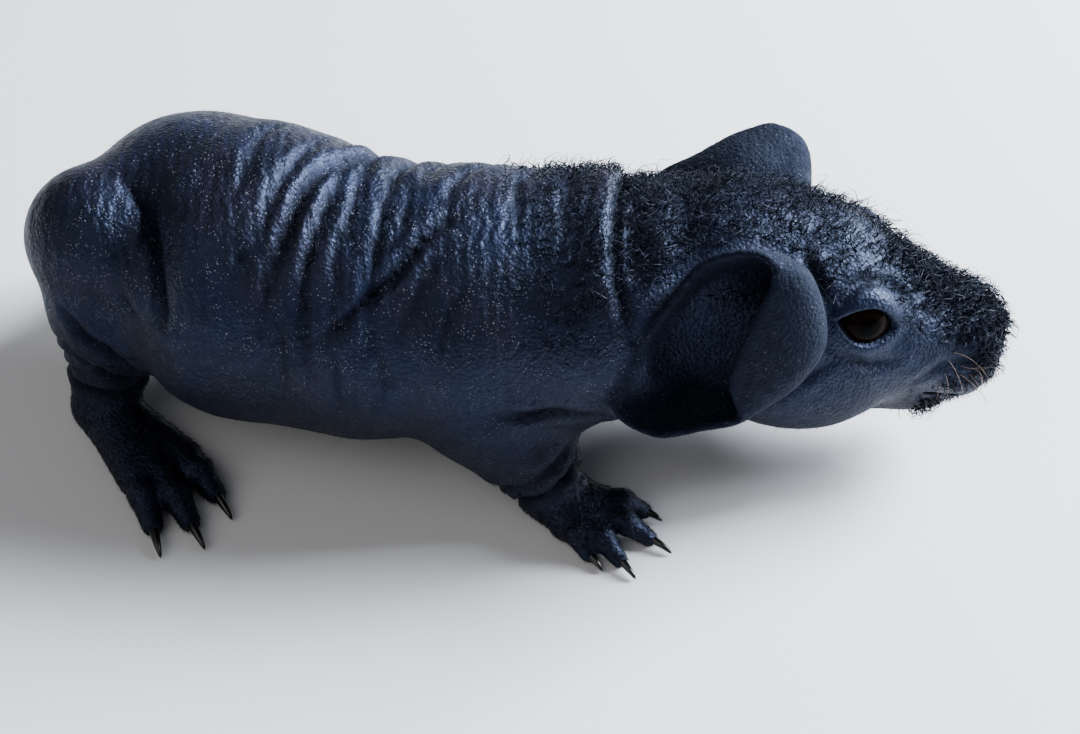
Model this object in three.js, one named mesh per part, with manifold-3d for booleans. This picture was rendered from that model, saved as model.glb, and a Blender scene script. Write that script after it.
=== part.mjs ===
// A skinny pig, the hairless guinea pig, as a still, life-size model of a young black one that stands
// with its head forward. Millimetres, +Z up, the floor at Z = 0, the nose towards +X and the animal's
// right side towards -Y. The flesh is one blended field of limbs and ellipsoids. It is skinned, then
// parted by thin cuts into head, neck, torso, legs and feet. Ears, eyes and claws are their own pieces.
import * as THREE from "three";
import { mergeVertices } from "three/addons/utils/BufferGeometryUtils.js";
import Module from "manifold-3d";

const wasm = await Module();
wasm.setup();

// Driving dimensions
const GAP = 0.3;
const TORSO_STEP = 4.0;
const HEAD_STEP = 2.3;
const LEG_STEP = 3.0;
const FOOT_STEP = 1.75;
const EAR_STEP = 2.6;
const SOCKET = 2.5;
const SOCKET_STEP = 3.4;
const SINK = 0.35;
const HEAD_CENTRE = [36, -3.5, 24.5];
const HEAD_YAW = 4;
const HEAD_PITCH = 13;
const HEAD_ROLL = 8;
const EYE_CENTRE = [6.0, 7.8, 4.5];
const EYE_RADIUS = 4.6;
const EYE_GAZE = [0.255, 0.951, 0.174];
const EYE_HALF_LENGTH = 4.0;
const EYE_HALF_HEIGHT = 2.8;
const LID = 0.9;
const EAR_WALL = 1.1;
const EAR_FLOOR = [-9.2, 13.4, 1.0];
const CLAW_RADIUS = { hind: 0.85, fore: 0.7 };

const v3 = (p) => new THREE.Vector3(...p);
const radians = THREE.MathUtils.degToRad;

// Distances, in millimetres, below zero inside
const smoothUnion = (a, b, k) => {
  const h = Math.max(k - Math.abs(a - b), 0) / k;
  return Math.min(a, b) - (h * h * k) / 4;
};
const smoothCut = (a, b, k) => -smoothUnion(-a, b, k);

// A straight limb from one round end to the other
function limb(from, to, r1, r2 = r1) {
  const a = v3(from);
  const along = v3(to).sub(a);
  const length2 = along.lengthSq();
  const rel = new THREE.Vector3();
  return (p) => {
    rel.subVectors(p, a);
    const t = length2 ? Math.min(1, Math.max(0, rel.dot(along) / length2)) : 0;
    return rel.addScaledVector(along, -t).length() - (r1 + (r2 - r1) * t);
  };
}

// An ellipsoid, turned by a matrix if one is given
function ellipsoid(centre, radii, frame = new THREE.Matrix4()) {
  const inverse = frame.clone().invert();
  const q = new THREE.Vector3();
  return (p) => {
    q.copy(p).applyMatrix4(inverse);
    const x = q.x - centre[0];
    const y = q.y - centre[1];
    const z = q.z - centre[2];
    const [rx, ry, rz] = radii;
    const k0 = Math.hypot(x / rx, y / ry, z / rz);
    const k1 = Math.hypot(x / (rx * rx), y / (ry * ry), z / (rz * rz));
    return k1 < 1e-9 ? -Math.min(rx, ry, rz) : (k0 * (k0 - 1)) / k1;
  };
}

// The head's frame: x forward, y to the animal's right, z up
function headFrame() {
  const yaw = radians(HEAD_YAW);
  const pitch = radians(HEAD_PITCH);
  const roll = radians(HEAD_ROLL);
  const forward = new THREE.Vector3(
    Math.cos(pitch) * Math.cos(yaw),
    -Math.cos(pitch) * Math.sin(yaw),
    -Math.sin(pitch),
  );
  const level = new THREE.Vector3(-Math.sin(yaw), -Math.cos(yaw), 0);
  const upright = level.clone().cross(forward);
  const right = level.clone().multiplyScalar(Math.cos(roll)).addScaledVector(upright, Math.sin(roll));
  const up = upright.clone().multiplyScalar(Math.cos(roll)).addScaledVector(level, -Math.sin(roll));
  return new THREE.Matrix4().makeBasis(forward, right, up).setPosition(...HEAD_CENTRE);
}
const HEAD = headFrame();
const onHead = (p) => v3(p).applyMatrix4(HEAD).toArray();
const mirrored = (p) => [p[0], -p[1], p[2]];

// Blends a list of [distance, k] into one field
const blended = (parts) => (p) => {
  let d = parts[0][0](p);
  for (let i = 1; i < parts.length; i++) d = smoothUnion(d, parts[i][0](p), parts[i][1]);
  return d;
};

// Torso: spine stations from rump to neck, as centre and radius
const SPINE = [
  { at: [-48.5, 9.2, 26.0], r: 16.2 },
  { at: [-39.0, 2.6, 23.7], r: 20.3 },
  { at: [-24.0, -2.6, 22.7], r: 18.2 },
  { at: [-8.0, -4.2, 24.0], r: 17.8 },
  { at: [8.0, -4.2, 25.2], r: 16.3 },
  { at: [22.0, -4.0, 27.0], r: 12.6 },
];
const chainParts = (chain, k) =>
  chain.slice(1).map((s, i) => [limb(chain[i].at, s.at, chain[i].r, s.r), k]);

// Legs: chains of joints from the body down, with a radius at each. The last joint is in the foot.
const LEGS = {
  hindleg_right: [
    { at: [-50, 6, 27], r: 13 },
    { at: [-60.7, 1.8, 30.6], r: 9.2 },
    { at: [-60.0, -0.5, 19.5], r: 8.3 },
    { at: [-61.7, -1.8, 9.5], r: 4.9 },
    { at: [-62.5, -4.4, 5.2], r: 4.4 },
  ],
  hindleg_left: [
    { at: [-47, 14, 25], r: 12 },
    { at: [-54.5, 18.6, 22.8], r: 9.5 },
    { at: [-50.5, 22.5, 17], r: 8.0 },
    { at: [-57.0, 24.5, 9.5], r: 4.9 },
    { at: [-58.5, 26.5, 5.2], r: 4.4 },
  ],
  foreleg_right: [
    { at: [3, -10, 25], r: 9.5 },
    { at: [-7.0, -15.8, 15.0], r: 8.0 },
    { at: [-1.5, -18.6, 9.6], r: 6.0 },
    { at: [1.2, -20.9, 5.6], r: 4.3 },
  ],
  foreleg_left: [
    { at: [5, 4, 24], r: 9.5 },
    { at: [-3, 8.6, 15.0], r: 7.4 },
    { at: [3.0, 11.0, 9.6], r: 5.6 },
    { at: [6.4, 12.6, 5.6], r: 4.2 },
  ],
};
const LEG_BLEND = 4;

// Feet: the heel, then toes that fan out from it. Each toe runs from its root over a knuckle to its end,
// where the claw starts. All are given in plan, and their height follows from their radius, so that
// each one is flattened a little where it stands on the floor.
const FEET = {
  hindfoot_right: {
    heel: [-63.0, -4.6],
    heelRadius: 4.1,
    toeRadius: 2.3,
    toes: [
      { root: [-56.6, -17.4], end: [-53.6, -25.4], claw: [-51.9, -30.6] },
      { root: [-52.9, -17.8], end: [-48.6, -24.6], claw: [-46.0, -29.1] },
      { root: [-50.6, -14.2], end: [-45.6, -19.4], claw: [-42.8, -23.7] },
    ],
  },
  hindfoot_left: {
    heel: [-59.2, 27],
    heelRadius: 4.1,
    toeRadius: 2.3,
    toes: [
      { root: [-46.0, 33.4], end: [-38.2, 36.4], claw: [-33.2, 37.4] },
      { root: [-44.6, 30.6], end: [-36.4, 32.4], claw: [-31.2, 32.6] },
      { root: [-45.6, 27.4], end: [-38.2, 27.8], claw: [-33.2, 27.4] },
    ],
  },
  forefoot_right: {
    heel: [1.4, -21.0],
    heelRadius: 3.8,
    toeRadius: 1.85,
    toes: [
      { root: [3.6, -25.8], end: [6.6, -30.2], claw: [8.5, -32.8] },
      { root: [6.4, -26.2], end: [10.8, -31.2], claw: [13.0, -34.2] },
      { root: [8.6, -24.4], end: [15.0, -27.4], claw: [18.1, -29.7] },
      { root: [8.6, -21.8], end: [14.4, -22.4], claw: [17.0, -23.8] },
    ],
  },
  forefoot_left: {
    heel: [6.8, 12.8],
    heelRadius: 3.8,
    toeRadius: 1.85,
    toes: [
      { root: [12.0, 16.6], end: [17.4, 19.8], claw: [20.4, 21.4] },
      { root: [13.8, 14.8], end: [20.4, 16.6], claw: [23.8, 17.2] },
      { root: [14.0, 12.4], end: [20.8, 12.6], claw: [24.2, 12.2] },
      { root: [12.6, 10.2], end: [18.2, 8.8], claw: [21.0, 7.8] },
    ],
  },
};
const KNUCKLE_RISE = 1.1;
const resting = (plan, radius) => [...plan, radius - SINK];
const toeEnd = (toe, r) => resting(toe.end, r * 0.75);
function footParts({ heel, heelRadius, toeRadius: r, toes }) {
  return toes.flatMap((toe) => {
    const root = resting(toe.root, r * 1.35);
    const end = toeEnd(toe, r);
    const knuckle = v3(root).lerp(v3(end), 0.5);
    knuckle.z += KNUCKLE_RISE;
    const mid = knuckle.toArray();
    return [
      [limb(resting(heel, heelRadius), root, heelRadius, r * 1.35), 1.5],
      [limb(root, mid, r * 1.15, r), 0.8],
      [limb(mid, end, r, r * 0.75), 0.8],
    ];
  });
}

// Head, in its own frame
const headPart = (centre, radii, k) => [ellipsoid(centre, radii, HEAD), k];
const headLimb = (from, to, r1, r2, k) => [limb(onHead(from), onHead(to), r1, r2), k];
const bothSides = (centre, radii, k) => [headPart(centre, radii, k), headPart(mirrored(centre), radii, k)];
const SIDES = { right: (p) => p, left: mirrored };
const lidBalls = Object.values(SIDES).map((side) => headLimb(side(EYE_CENTRE), side(EYE_CENTRE),
  EYE_RADIUS + LID, EYE_RADIUS + LID, 2));
const HEAD_PARTS = [
  headPart([-8, 0, 1.5], [17, 14.2, 13.6], 5),
  headLimb([3, 0, 2.4], [20.5, 0, -0.6], 11.2, 7.4, 5),
  headPart([22.8, 0, -2.0], [7.1, 7.4, 7.6], 4),
  ...bothSides([10, 5.6, -1.8], [10, 5.4, 7.8], 4),
  ...bothSides([-1, 8.0, -6.4], [14.0, 7.4, 9.4], 4),
  headLimb([3, 0, -9.0], [19.4, 0, -8.8], 7.8, 5.4, 4),
  ...bothSides([22.6, 3.4, -3.6], [5.2, 4.2, 4.4], 2),
  ...lidBalls,
];
// Where the ears stand, the side of the head is hollowed
const EAR_HOLLOWS = bothSides([-11.5, 17.0, 0.0], [9.5, 4.6, 9.5], 2);

const solidTrunk = blended([...chainParts(SPINE, 5), ...HEAD_PARTS]);
const trunk = (p) => EAR_HOLLOWS.reduce((d, [hollow, k]) => smoothCut(d, hollow(p), k), solidTrunk(p));
const legFields = Object.values(LEGS).map((chain) => blended(chainParts(chain, LEG_BLEND)));
const flesh = blended([[trunk, 0], ...legFields.map((f) => [f, LEG_BLEND])]);

// Where two corners of a grid square that lie across from each other are inside and the other two are
// outside, the skin would touch itself, so one of the outer corners is filled
function closePinches(value, count, at, step) {
  let filled = 0;
  for (let k = 0; k < count[2] - 1; k++)
    for (let j = 0; j < count[1] - 1; j++)
      for (let i = 0; i < count[0] - 1; i++)
        for (let axis = 0; axis < 3; axis++) {
          const [a, b, c, d] = [[0, 0], [1, 0], [1, 1], [0, 1]].map(([du, dv]) => {
            const corner = [i, j, k];
            corner[(axis + 1) % 3] += du;
            corner[(axis + 2) % 3] += dv;
            return at(...corner);
          });
          const inside = [a, b, c, d].map((n) => value[n] < 0);
          if (inside[0] !== inside[2] || inside[1] !== inside[3] || inside[0] === inside[1]) continue;
          const [m, n] = inside[0] ? [b, d] : [a, c];
          value[value[m] < value[n] ? m : n] = -0.05 * step;
          filled++;
        }
  return filled;
}

// Skins a field inside a box with a closed surface of quads, two triangles each: one vertex for each
// crossed cell, moved on to the surface, and one quad for each crossed edge of the grid
function skinOf(field, low, high, step) {
  const count = [0, 1, 2].map((i) => Math.ceil((high[i] - low[i]) / step) + 1);
  const at = (i, j, k) => (k * count[1] + j) * count[0] + i;
  const value = new Float64Array(count[0] * count[1] * count[2]);
  const p = new THREE.Vector3();
  for (let k = 0; k < count[2]; k++)
    for (let j = 0; j < count[1]; j++)
      for (let i = 0; i < count[0]; i++) {
        p.set(low[0] + i * step, low[1] + j * step, low[2] + k * step);
        const onRim = [i, j, k].some((n, axis) => n === 0 || n === count[axis] - 1);
        value[at(i, j, k)] = onRim ? Math.max(field(p), step / 2) : field(p);
      }
  while (closePinches(value, count, at, step)) continue;
  const vertices = [];
  const cellVertex = new Map();
  const vertexOf = (i, j, k) => {
    const key = at(i, j, k);
    if (cellVertex.has(key)) return cellVertex.get(key);
    const sum = new THREE.Vector3();
    let crossings = 0;
    for (let axis = 0; axis < 3; axis++)
      for (let m = 0; m < 4; m++) {
        const a = [i, j, k];
        a[(axis + 1) % 3] += m & 1;
        a[(axis + 2) % 3] += m >> 1;
        const b = [...a];
        b[axis] += 1;
        const va = value[at(...a)];
        const vb = value[at(...b)];
        if (va < 0 === vb < 0) continue;
        const t = va / (va - vb);
        const hit = new THREE.Vector3(a[0], a[1], a[2]);
        hit.setComponent(axis, a[axis] + t);
        sum.add(hit);
        crossings++;
      }
    sum.divideScalar(crossings).multiplyScalar(step).add(v3(low));
    cellVertex.set(key, vertices.length);
    vertices.push(sum);
    return vertices.length - 1;
  };
  const triangles = [];
  for (let k = 0; k < count[2] - 1; k++)
    for (let j = 0; j < count[1] - 1; j++)
      for (let i = 0; i < count[0] - 1; i++)
        for (let axis = 0; axis < 3; axis++) {
          const here = [i, j, k];
          const next = [...here];
          next[axis] += 1;
          const inside = value[at(...here)] < 0;
          if (inside === value[at(...next)] < 0) continue;
          const ring = [[0, 0], [-1, 0], [-1, -1], [0, -1]].map(([du, dv]) => {
            const cell = [...here];
            cell[(axis + 1) % 3] += du;
            cell[(axis + 2) % 3] += dv;
            return vertexOf(...cell);
          });
          if (!inside) ring.reverse();
          const [a, b, c, d] = ring;
          if (vertices[a].distanceTo(vertices[c]) < vertices[b].distanceTo(vertices[d]))
            triangles.push(a, b, c, a, c, d);
          else triangles.push(a, b, d, b, c, d);
        }
  return { vertices, triangles };
}

// Moves each vertex of a skin straight on to the field's surface
function settle(skin, field, most) {
  const e = 0.05;
  for (const v of skin.vertices) {
    const d = field(v);
    const slope = new THREE.Vector3(
      field(v.clone().add(new THREE.Vector3(e, 0, 0))) - d,
      field(v.clone().add(new THREE.Vector3(0, e, 0))) - d,
      field(v.clone().add(new THREE.Vector3(0, 0, e))) - d,
    ).divideScalar(e);
    const size = slope.lengthSq();
    if (size > 0.2 && Math.abs(d) < most) v.addScaledVector(slope, -d / size);
  }
  return skin;
}

// Closed solids, from vertices and triangles, from a geometry or from a field. The head's frame is a
// mirrored one, so faces that came out inwards are turned round.
function solidFrom(vertProperties, triVerts) {
  const corner = (n) => new THREE.Vector3().fromArray(vertProperties, 3 * triVerts[n]);
  let volume = 0;
  for (let n = 0; n < triVerts.length; n += 3)
    volume += corner(n).dot(corner(n + 1).cross(corner(n + 2)));
  if (volume < 0) triVerts.reverse();
  return new wasm.Manifold(new wasm.Mesh({ numProp: 3, vertProperties, triVerts }));
}
const solidOfPoints = (vertices, triangles) =>
  solidFrom(new Float32Array(vertices.flatMap((v) => v.toArray())), new Uint32Array(triangles));
function solidOf(geometry) {
  geometry.deleteAttribute("normal");
  geometry.deleteAttribute("uv");
  const merged = mergeVertices(geometry, 1e-4);
  return solidFrom(merged.attributes.position.array, Uint32Array.from(merged.index.array));
}
function fieldSolid(field, low, high, step) {
  const { vertices, triangles } = settle(skinOf(field, low, high, step), field, step / 2);
  return solidOfPoints(vertices, triangles);
}
const largest = (solid) => solid.decompose().sort((a, b) => b.volume() - a.volume())[0];

// A block that fills the side of a plane that the normal points to, from a little way off the plane
const FAR = 300;
function beyond(point, normal, off = 0) {
  const up = v3(normal).normalize();
  const turn = new THREE.Quaternion().setFromUnitVectors(new THREE.Vector3(0, 0, 1), up);
  const block = new THREE.BoxGeometry(FAR, FAR, FAR).translate(0, 0, FAR / 2 + off);
  return solidOf(block.applyQuaternion(turn).translate(...point));
}
const opposite = (p) => p.map((x) => -x);
const HALF = GAP / 2;

const nodes = new Map();
const keep = (name, solid, finish) => nodes.set(name, { solid: largest(solid), finish });

// Legs, each parted from the body all round the thigh or upper arm, and from its foot at the ankle.
// A web of body stays between the two of a pair, on the animal's middle plane.
const grown = (points, by) => {
  const box = new THREE.Box3().setFromPoints(points).expandByScalar(by);
  return [box.min.toArray(), box.max.toArray()];
};
const WEB = 1.5;
const MIDDLE = {
  hind: { at: [-48.5, 9.2, 26], left: [0.534, 0.845, 0] },
  fore: { at: [0, -4.2, 24], left: [0, 1, 0] },
};
const sockets = [];
for (const [name, chain] of Object.entries(LEGS)) {
  const lower = chain.slice(1);
  const lowerField = blended([[() => FAR, 0], ...chainParts(lower, LEG_BLEND)]);
  const box = grown(lower.map((s) => v3(s.at)), 14);
  const { at, left } = MIDDLE[name.slice(0, 4)];
  const outward = name.endsWith("left") ? left : opposite(left);
  const socketAt = (off) =>
    fieldSolid((p) => lowerField(p) - SOCKET - off, ...box, SOCKET_STEP)
      .intersect(beyond(at, outward, WEB - off));
  sockets.push(socketAt(HALF));
  const footName = name.replace("leg", "foot");
  const foot = FEET[footName];
  const [above, below] = chain.slice(-2).map((s) => v3(s.at));
  const ankle = above.clone().lerp(below, 0.35).toArray();
  const down = below.clone().sub(above).toArray();
  const leg = fieldSolid(flesh, ...box, LEG_STEP).intersect(socketAt(-HALF));
  keep(name, leg.subtract(beyond(ankle, down, -HALF)), "skin");

  const footField = blended([...chainParts(chain.slice(-2), 1.5), ...footParts(foot)]);
  const toes = foot.toes.flatMap((toe) => [v3(toeEnd(toe, foot.toeRadius)), v3(resting(toe.root, 0))]);
  const footBox = grown([above, v3(resting(foot.heel, foot.heelRadius)), ...toes], 6);
  const footSolid = fieldSolid(footField, ...footBox, FOOT_STEP)
    .intersect(beyond(ankle, down, HALF))
    .intersect(beyond([0, 0, 0], [0, 0, 1]));
  keep(footName, footSolid, "foot");

  foot.toes.forEach((toe, i) => {
    const end = v3(toeEnd(toe, foot.toeRadius));
    const radius = CLAW_RADIUS[name.slice(0, 4)];
    const tip = new THREE.Vector3(...toe.claw, radius * 0.6);
    const ahead = tip.clone().sub(end).setZ(0);
    const start = end.clone().addScaledVector(ahead, -0.3);
    const crest = end.clone().addScaledVector(ahead, 0.55);
    crest.z += radius * 0.7;
    const path = new THREE.QuadraticBezierCurve3(start, crest, tip);
    const toeSkin = fieldSolid((p) => footField(p) - GAP - HALF, ...grown([end, start, tip], 3.5), 1);
    keep(`claw_${footName}_${i + 1}`, horn(path, radius).subtract(toeSkin), "claw");
  });
}

// A claw: rings of six corners along a path, from a blunt root to a point
function horn(path, radius) {
  const RINGS = 5;
  const CORNERS = 6;
  const vertices = [path.getPoint(0)];
  for (let ring = 0; ring < RINGS; ring++) {
    const t = ring / RINGS;
    const along = path.getTangent(t);
    const across = new THREE.Vector3(0, 0, 1).cross(along).normalize();
    const over = along.clone().cross(across);
    const r = radius * Math.sqrt(1 - t);
    for (let corner = 0; corner < CORNERS; corner++) {
      const turn = (2 * Math.PI * corner) / CORNERS;
      vertices.push(
        path.getPoint(t).addScaledVector(across, 0.85 * r * Math.cos(turn)).addScaledVector(over, r * Math.sin(turn)),
      );
    }
  }
  vertices.push(path.getPoint(1));
  return lofted(vertices, CORNERS, RINGS);
}

// Closes rings of vertices between a first and a last point
function lofted(vertices, around, rings) {
  const last = vertices.length - 1;
  const at = (ring, corner) => 1 + ring * around + (corner % around);
  const triangles = [];
  for (let corner = 0; corner < around; corner++) {
    triangles.push(0, at(0, corner + 1), at(0, corner));
    triangles.push(last, at(rings - 1, corner), at(rings - 1, corner + 1));
    for (let ring = 0; ring < rings - 1; ring++) {
      const [a, b] = [at(ring, corner), at(ring, corner + 1)];
      const [c, d] = [at(ring + 1, corner), at(ring + 1, corner + 1)];
      triangles.push(a, b, d, a, d, c);
    }
  }
  return solidOfPoints(vertices, triangles);
}

// Torso, neck and head
const without = (solid, cuts) => cuts.reduce((left, cut) => left.subtract(cut), solid);
const SHOULDER = { at: [2, -4, 24], normal: [1, 0, 0.05] };
const NAPE = { at: [11.3, -4, 24], normal: [1, -0.05, -0.1] };
const body = without(fieldSolid(flesh, [-76, -42, 1], [24, 42, 52], TORSO_STEP), sockets);
keep("torso", body.subtract(beyond(SHOULDER.at, SHOULDER.normal, -HALF)), "skin");
keep(
  "neck",
  body
    .intersect(beyond(SHOULDER.at, SHOULDER.normal, HALF))
    .subtract(beyond(NAPE.at, NAPE.normal, -HALF)),
  "skin",
);

// The eye's frame: x towards the nose, y up, z out along the gaze
function eyeFrame(side) {
  const gaze = v3(side(EYE_GAZE)).normalize();
  const ahead = new THREE.Vector3(1, 0, 0).addScaledVector(gaze, -gaze.x).normalize();
  const upward = gaze.clone().cross(ahead);
  const frame = new THREE.Matrix4().makeBasis(ahead, upward, gaze).setPosition(...side(EYE_CENTRE));
  return HEAD.clone().multiply(frame);
}
function lidOpening(side) {
  const lens = new THREE.Shape();
  const bend = EYE_HALF_HEIGHT * 1.45;
  lens.moveTo(-EYE_HALF_LENGTH, 0);
  lens.bezierCurveTo(-EYE_HALF_LENGTH * 0.45, -bend, EYE_HALF_LENGTH * 0.45, -bend, EYE_HALF_LENGTH, 0);
  lens.bezierCurveTo(EYE_HALF_LENGTH * 0.45, bend, -EYE_HALF_LENGTH * 0.45, bend, -EYE_HALF_LENGTH, 0);
  const cut = new THREE.ExtrudeGeometry(lens, { depth: 12, bevelEnabled: false, curveSegments: 5 });
  return solidOf(cut.applyMatrix4(eyeFrame(side)));
}
const ball = (radius, frame) => solidOf(new THREE.IcosahedronGeometry(radius, 2).applyMatrix4(frame));
const headBall = (centre, radii) => {
  const place = new THREE.Matrix4().makeScale(...radii).setPosition(...centre);
  return ball(1, HEAD.clone().multiply(place));
};

// The line of the mouth: a thin cut from one corner of the lips round the front to the other
const MOUTH_LINE = [[19.6, -6.8], [23.5, -6.6], [27, -5.9], [34, -5.2]];
const MOUTH_HALF = 0.25;
function mouthCut() {
  const slit = new THREE.Shape();
  const line = MOUTH_LINE.map(([x, z]) => [x, z]);
  slit.moveTo(line[0][0], line[0][1] - MOUTH_HALF);
  for (const [x, z] of line.slice(1)) slit.lineTo(x, z - MOUTH_HALF);
  for (const [x, z] of line.toReversed()) slit.lineTo(x, z + MOUTH_HALF);
  const cut = new THREE.ExtrudeGeometry(slit, { depth: 30, bevelEnabled: false });
  return solidOf(cut.translate(0, 0, -15).rotateX(Math.PI / 2).applyMatrix4(HEAD));
}
const NOSTRIL = { at: [29.2, 2.1, 0.4], radii: [1.5, 0.8, 1.2] };
const headCuts = [...sockets, beyond(NAPE.at, opposite(NAPE.normal), -HALF), mouthCut()];
for (const [name, side] of Object.entries(SIDES)) {
  headCuts.push(ball(EYE_RADIUS + GAP, eyeFrame(side)), lidOpening(side));
  headCuts.push(headBall(side(NOSTRIL.at), NOSTRIL.radii));
  keep(`eye_${name}`, ball(EYE_RADIUS, eyeFrame(side)), "eye");
}
keep("head", without(fieldSolid(flesh, [5, -30, 0], [70, 24, 46], HEAD_STEP), headCuts), "skin");

// Ears. Each station round the ear has an angle on its base, a point that its wall bends round and a
// point of its rim, in the head's frame. The front wall folds back over the hollow of the ear. The left
// ear's upper rim hangs lower.
const EAR_BASE = { centre: [-8.5, 9.5, 1.5], radii: [7.5, 9] };
const EAR_STATIONS = [
  { angle: 300, bend: [-2, 18, -7], rim: [-7, 21, -7.5] },
  { angle: 335, bend: [3.5, 21, -2.5], rim: [-9.7, 20.5, -2.4] },
  { angle: 375, bend: [6, 20, 5], rim: [-9.6, 20, 5.6] },
  { angle: 415, bend: [-1, 17, 15], rim: [-8.7, 18.5, 14], leftRim: [-9.4, 18.5, 15.2] },
  { angle: 440, bend: [-8, 13.5, 15], rim: [-11.8, 16, 15.8], leftRim: [-12.6, 17.3, 12.4] },
  { angle: 475, bend: [-14, 12, 12], rim: [-17.7, 15, 12], leftRim: [-17.2, 16, 8.8] },
  { angle: 510, bend: [-18, 11, 6.5], rim: [-20.6, 16, 5.1], leftRim: [-21.2, 16, 4.6] },
  { angle: 540, bend: [-20, 11.5, 0], rim: [-22.8, 17.2, -1.7] },
  { angle: 575, bend: [-19, 13, -8], rim: [-23.7, 18.6, -11.2] },
  { angle: 605, bend: [-14, 15, -12], rim: [-17.3, 20.5, -13.4] },
  { angle: 632, bend: [-9, 17, -11], rim: [-11.4, 21.5, -10] },
];
const EAR_AROUND = 27;
const EAR_ROWS = 4;
function earSolid(name, side) {
  const ringOf = (pick) => new THREE.CatmullRomCurve3(EAR_STATIONS.map((s) => v3(pick(s))), true);
  const baseAt = ({ angle }) => {
    const { centre, radii } = EAR_BASE;
    const turn = radians(angle);
    return [centre[0] + radii[0] * Math.cos(turn), centre[1], centre[2] + radii[1] * Math.sin(turn)];
  };
  const rings = [ringOf(baseAt), ringOf((s) => s.bend), ringOf((s) => s[`${name}Rim`] ?? s.rim)];
  const wall = (u, t) => new THREE.QuadraticBezierCurve3(...rings.map((ring) => ring.getPoint(u))).getPoint(t);
  const inward = (u, t) => {
    const step = 0.01;
    const around = wall((u + step) % 1, t).sub(wall((u + 1 - step) % 1, t));
    const outward = wall(u, Math.min(1, t + step)).sub(wall(u, t - step));
    return around.cross(outward).normalize();
  };
  const rows = [];
  for (let row = 0; row <= EAR_ROWS; row++) rows.push((u) => wall(u, row / EAR_ROWS));
  rows.push((u) => {
    const edge = wall(u, 1).sub(wall(u, 0.95)).setLength(EAR_WALL * 0.3);
    return wall(u, 1).add(edge).addScaledVector(inward(u, 1), EAR_WALL / 2);
  });
  for (let row = EAR_ROWS; row > 1; row--)
    rows.push((u) => wall(u, row / EAR_ROWS).addScaledVector(inward(u, row / EAR_ROWS), EAR_WALL));
  const vertices = [v3(EAR_BASE.centre)];
  for (const row of rows)
    for (let i = 0; i < EAR_AROUND; i++) vertices.push(row(i / EAR_AROUND));
  vertices.push(v3(EAR_FLOOR));
  const placed = vertices.map((v) => v3(side(v.toArray())).applyMatrix4(HEAD));
  return lofted(placed, EAR_AROUND, rows.length);
}
for (const [name, side] of Object.entries(SIDES)) {
  const middle = v3(side(EAR_BASE.centre)).applyMatrix4(HEAD);
  const near = fieldSolid((p) => flesh(p) - GAP, ...grown([middle], 24), EAR_STEP);
  keep(`ear_${name}`, earSolid(name, side).subtract(near), "ear");
}

// Colours of a black animal: blue-grey skin, darker feet, black claws and eyes
const FINISHES = {
  skin: { color: 0x25252c, roughness: 0.7 },
  ear: { color: 0x202028, roughness: 0.7 },
  foot: { color: 0x101013, roughness: 0.85 },
  claw: { color: 0x0c0c0e, roughness: 0.25 },
  eye: { color: 0x050507, roughness: 0.05 },
};
const part = new THREE.Group();
for (const [name, { solid, finish }] of nodes) {
  const mesh = solid.getMesh();
  const geometry = new THREE.BufferGeometry()
    .setAttribute("position", new THREE.BufferAttribute(mesh.vertProperties, 3))
    .setIndex(new THREE.BufferAttribute(mesh.triVerts, 1));
  const material = new THREE.MeshStandardMaterial({ ...FINISHES[finish], metalness: 0 });
  const piece = new THREE.Mesh(geometry, material);
  piece.name = name;
  part.add(piece);
}

// The origin is under the middle of the animal, on the floor
const bounds = new THREE.Box3().setFromObject(part);
const middle = bounds.getCenter(new THREE.Vector3());
part.position.set(-middle.x, -middle.y, -bounds.min.z);
export default part;
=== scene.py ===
# %% [markdown]
# # A skinny pig
# This lesson dresses a packed model of a young black skinny pig, the hairless guinea pig, that stands on
# four feet with its head stretched forward. The packed solids are a plain frame. Here one skin is laid
# over all of the flesh, so that no seam shows, and then come eyes, claws, fuzz, whiskers and light.

# %% Load the frame
import math

import bpy
import bmesh
import numpy as np
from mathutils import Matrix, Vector
from mathutils.bvhtree import BVHTree


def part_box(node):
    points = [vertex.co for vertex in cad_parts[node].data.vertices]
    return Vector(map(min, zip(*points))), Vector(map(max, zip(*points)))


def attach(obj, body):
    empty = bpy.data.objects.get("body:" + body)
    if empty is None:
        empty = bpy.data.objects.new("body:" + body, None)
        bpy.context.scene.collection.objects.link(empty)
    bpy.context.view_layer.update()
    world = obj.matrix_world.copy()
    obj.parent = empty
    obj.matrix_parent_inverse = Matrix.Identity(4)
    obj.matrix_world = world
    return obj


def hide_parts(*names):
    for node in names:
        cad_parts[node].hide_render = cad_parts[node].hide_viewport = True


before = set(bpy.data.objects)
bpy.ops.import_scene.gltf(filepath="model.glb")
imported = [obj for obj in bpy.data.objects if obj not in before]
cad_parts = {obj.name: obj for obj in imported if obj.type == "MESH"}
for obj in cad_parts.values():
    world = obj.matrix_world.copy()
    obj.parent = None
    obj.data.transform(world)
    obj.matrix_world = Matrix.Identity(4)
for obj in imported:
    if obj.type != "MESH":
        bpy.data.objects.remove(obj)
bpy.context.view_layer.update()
MM = 0.001


# %% [markdown]
# The flesh is a distance field: a formula that gives, for any point in space, how far it is from the
# surface, with a minus sign inside. Simple bodies such as limbs with round ends and ellipsoids are
# melted into each other, which gives the soft joins of skin over muscle. The numbers are millimetres,
# and nearly all are the ones that the solids were made from.

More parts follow.
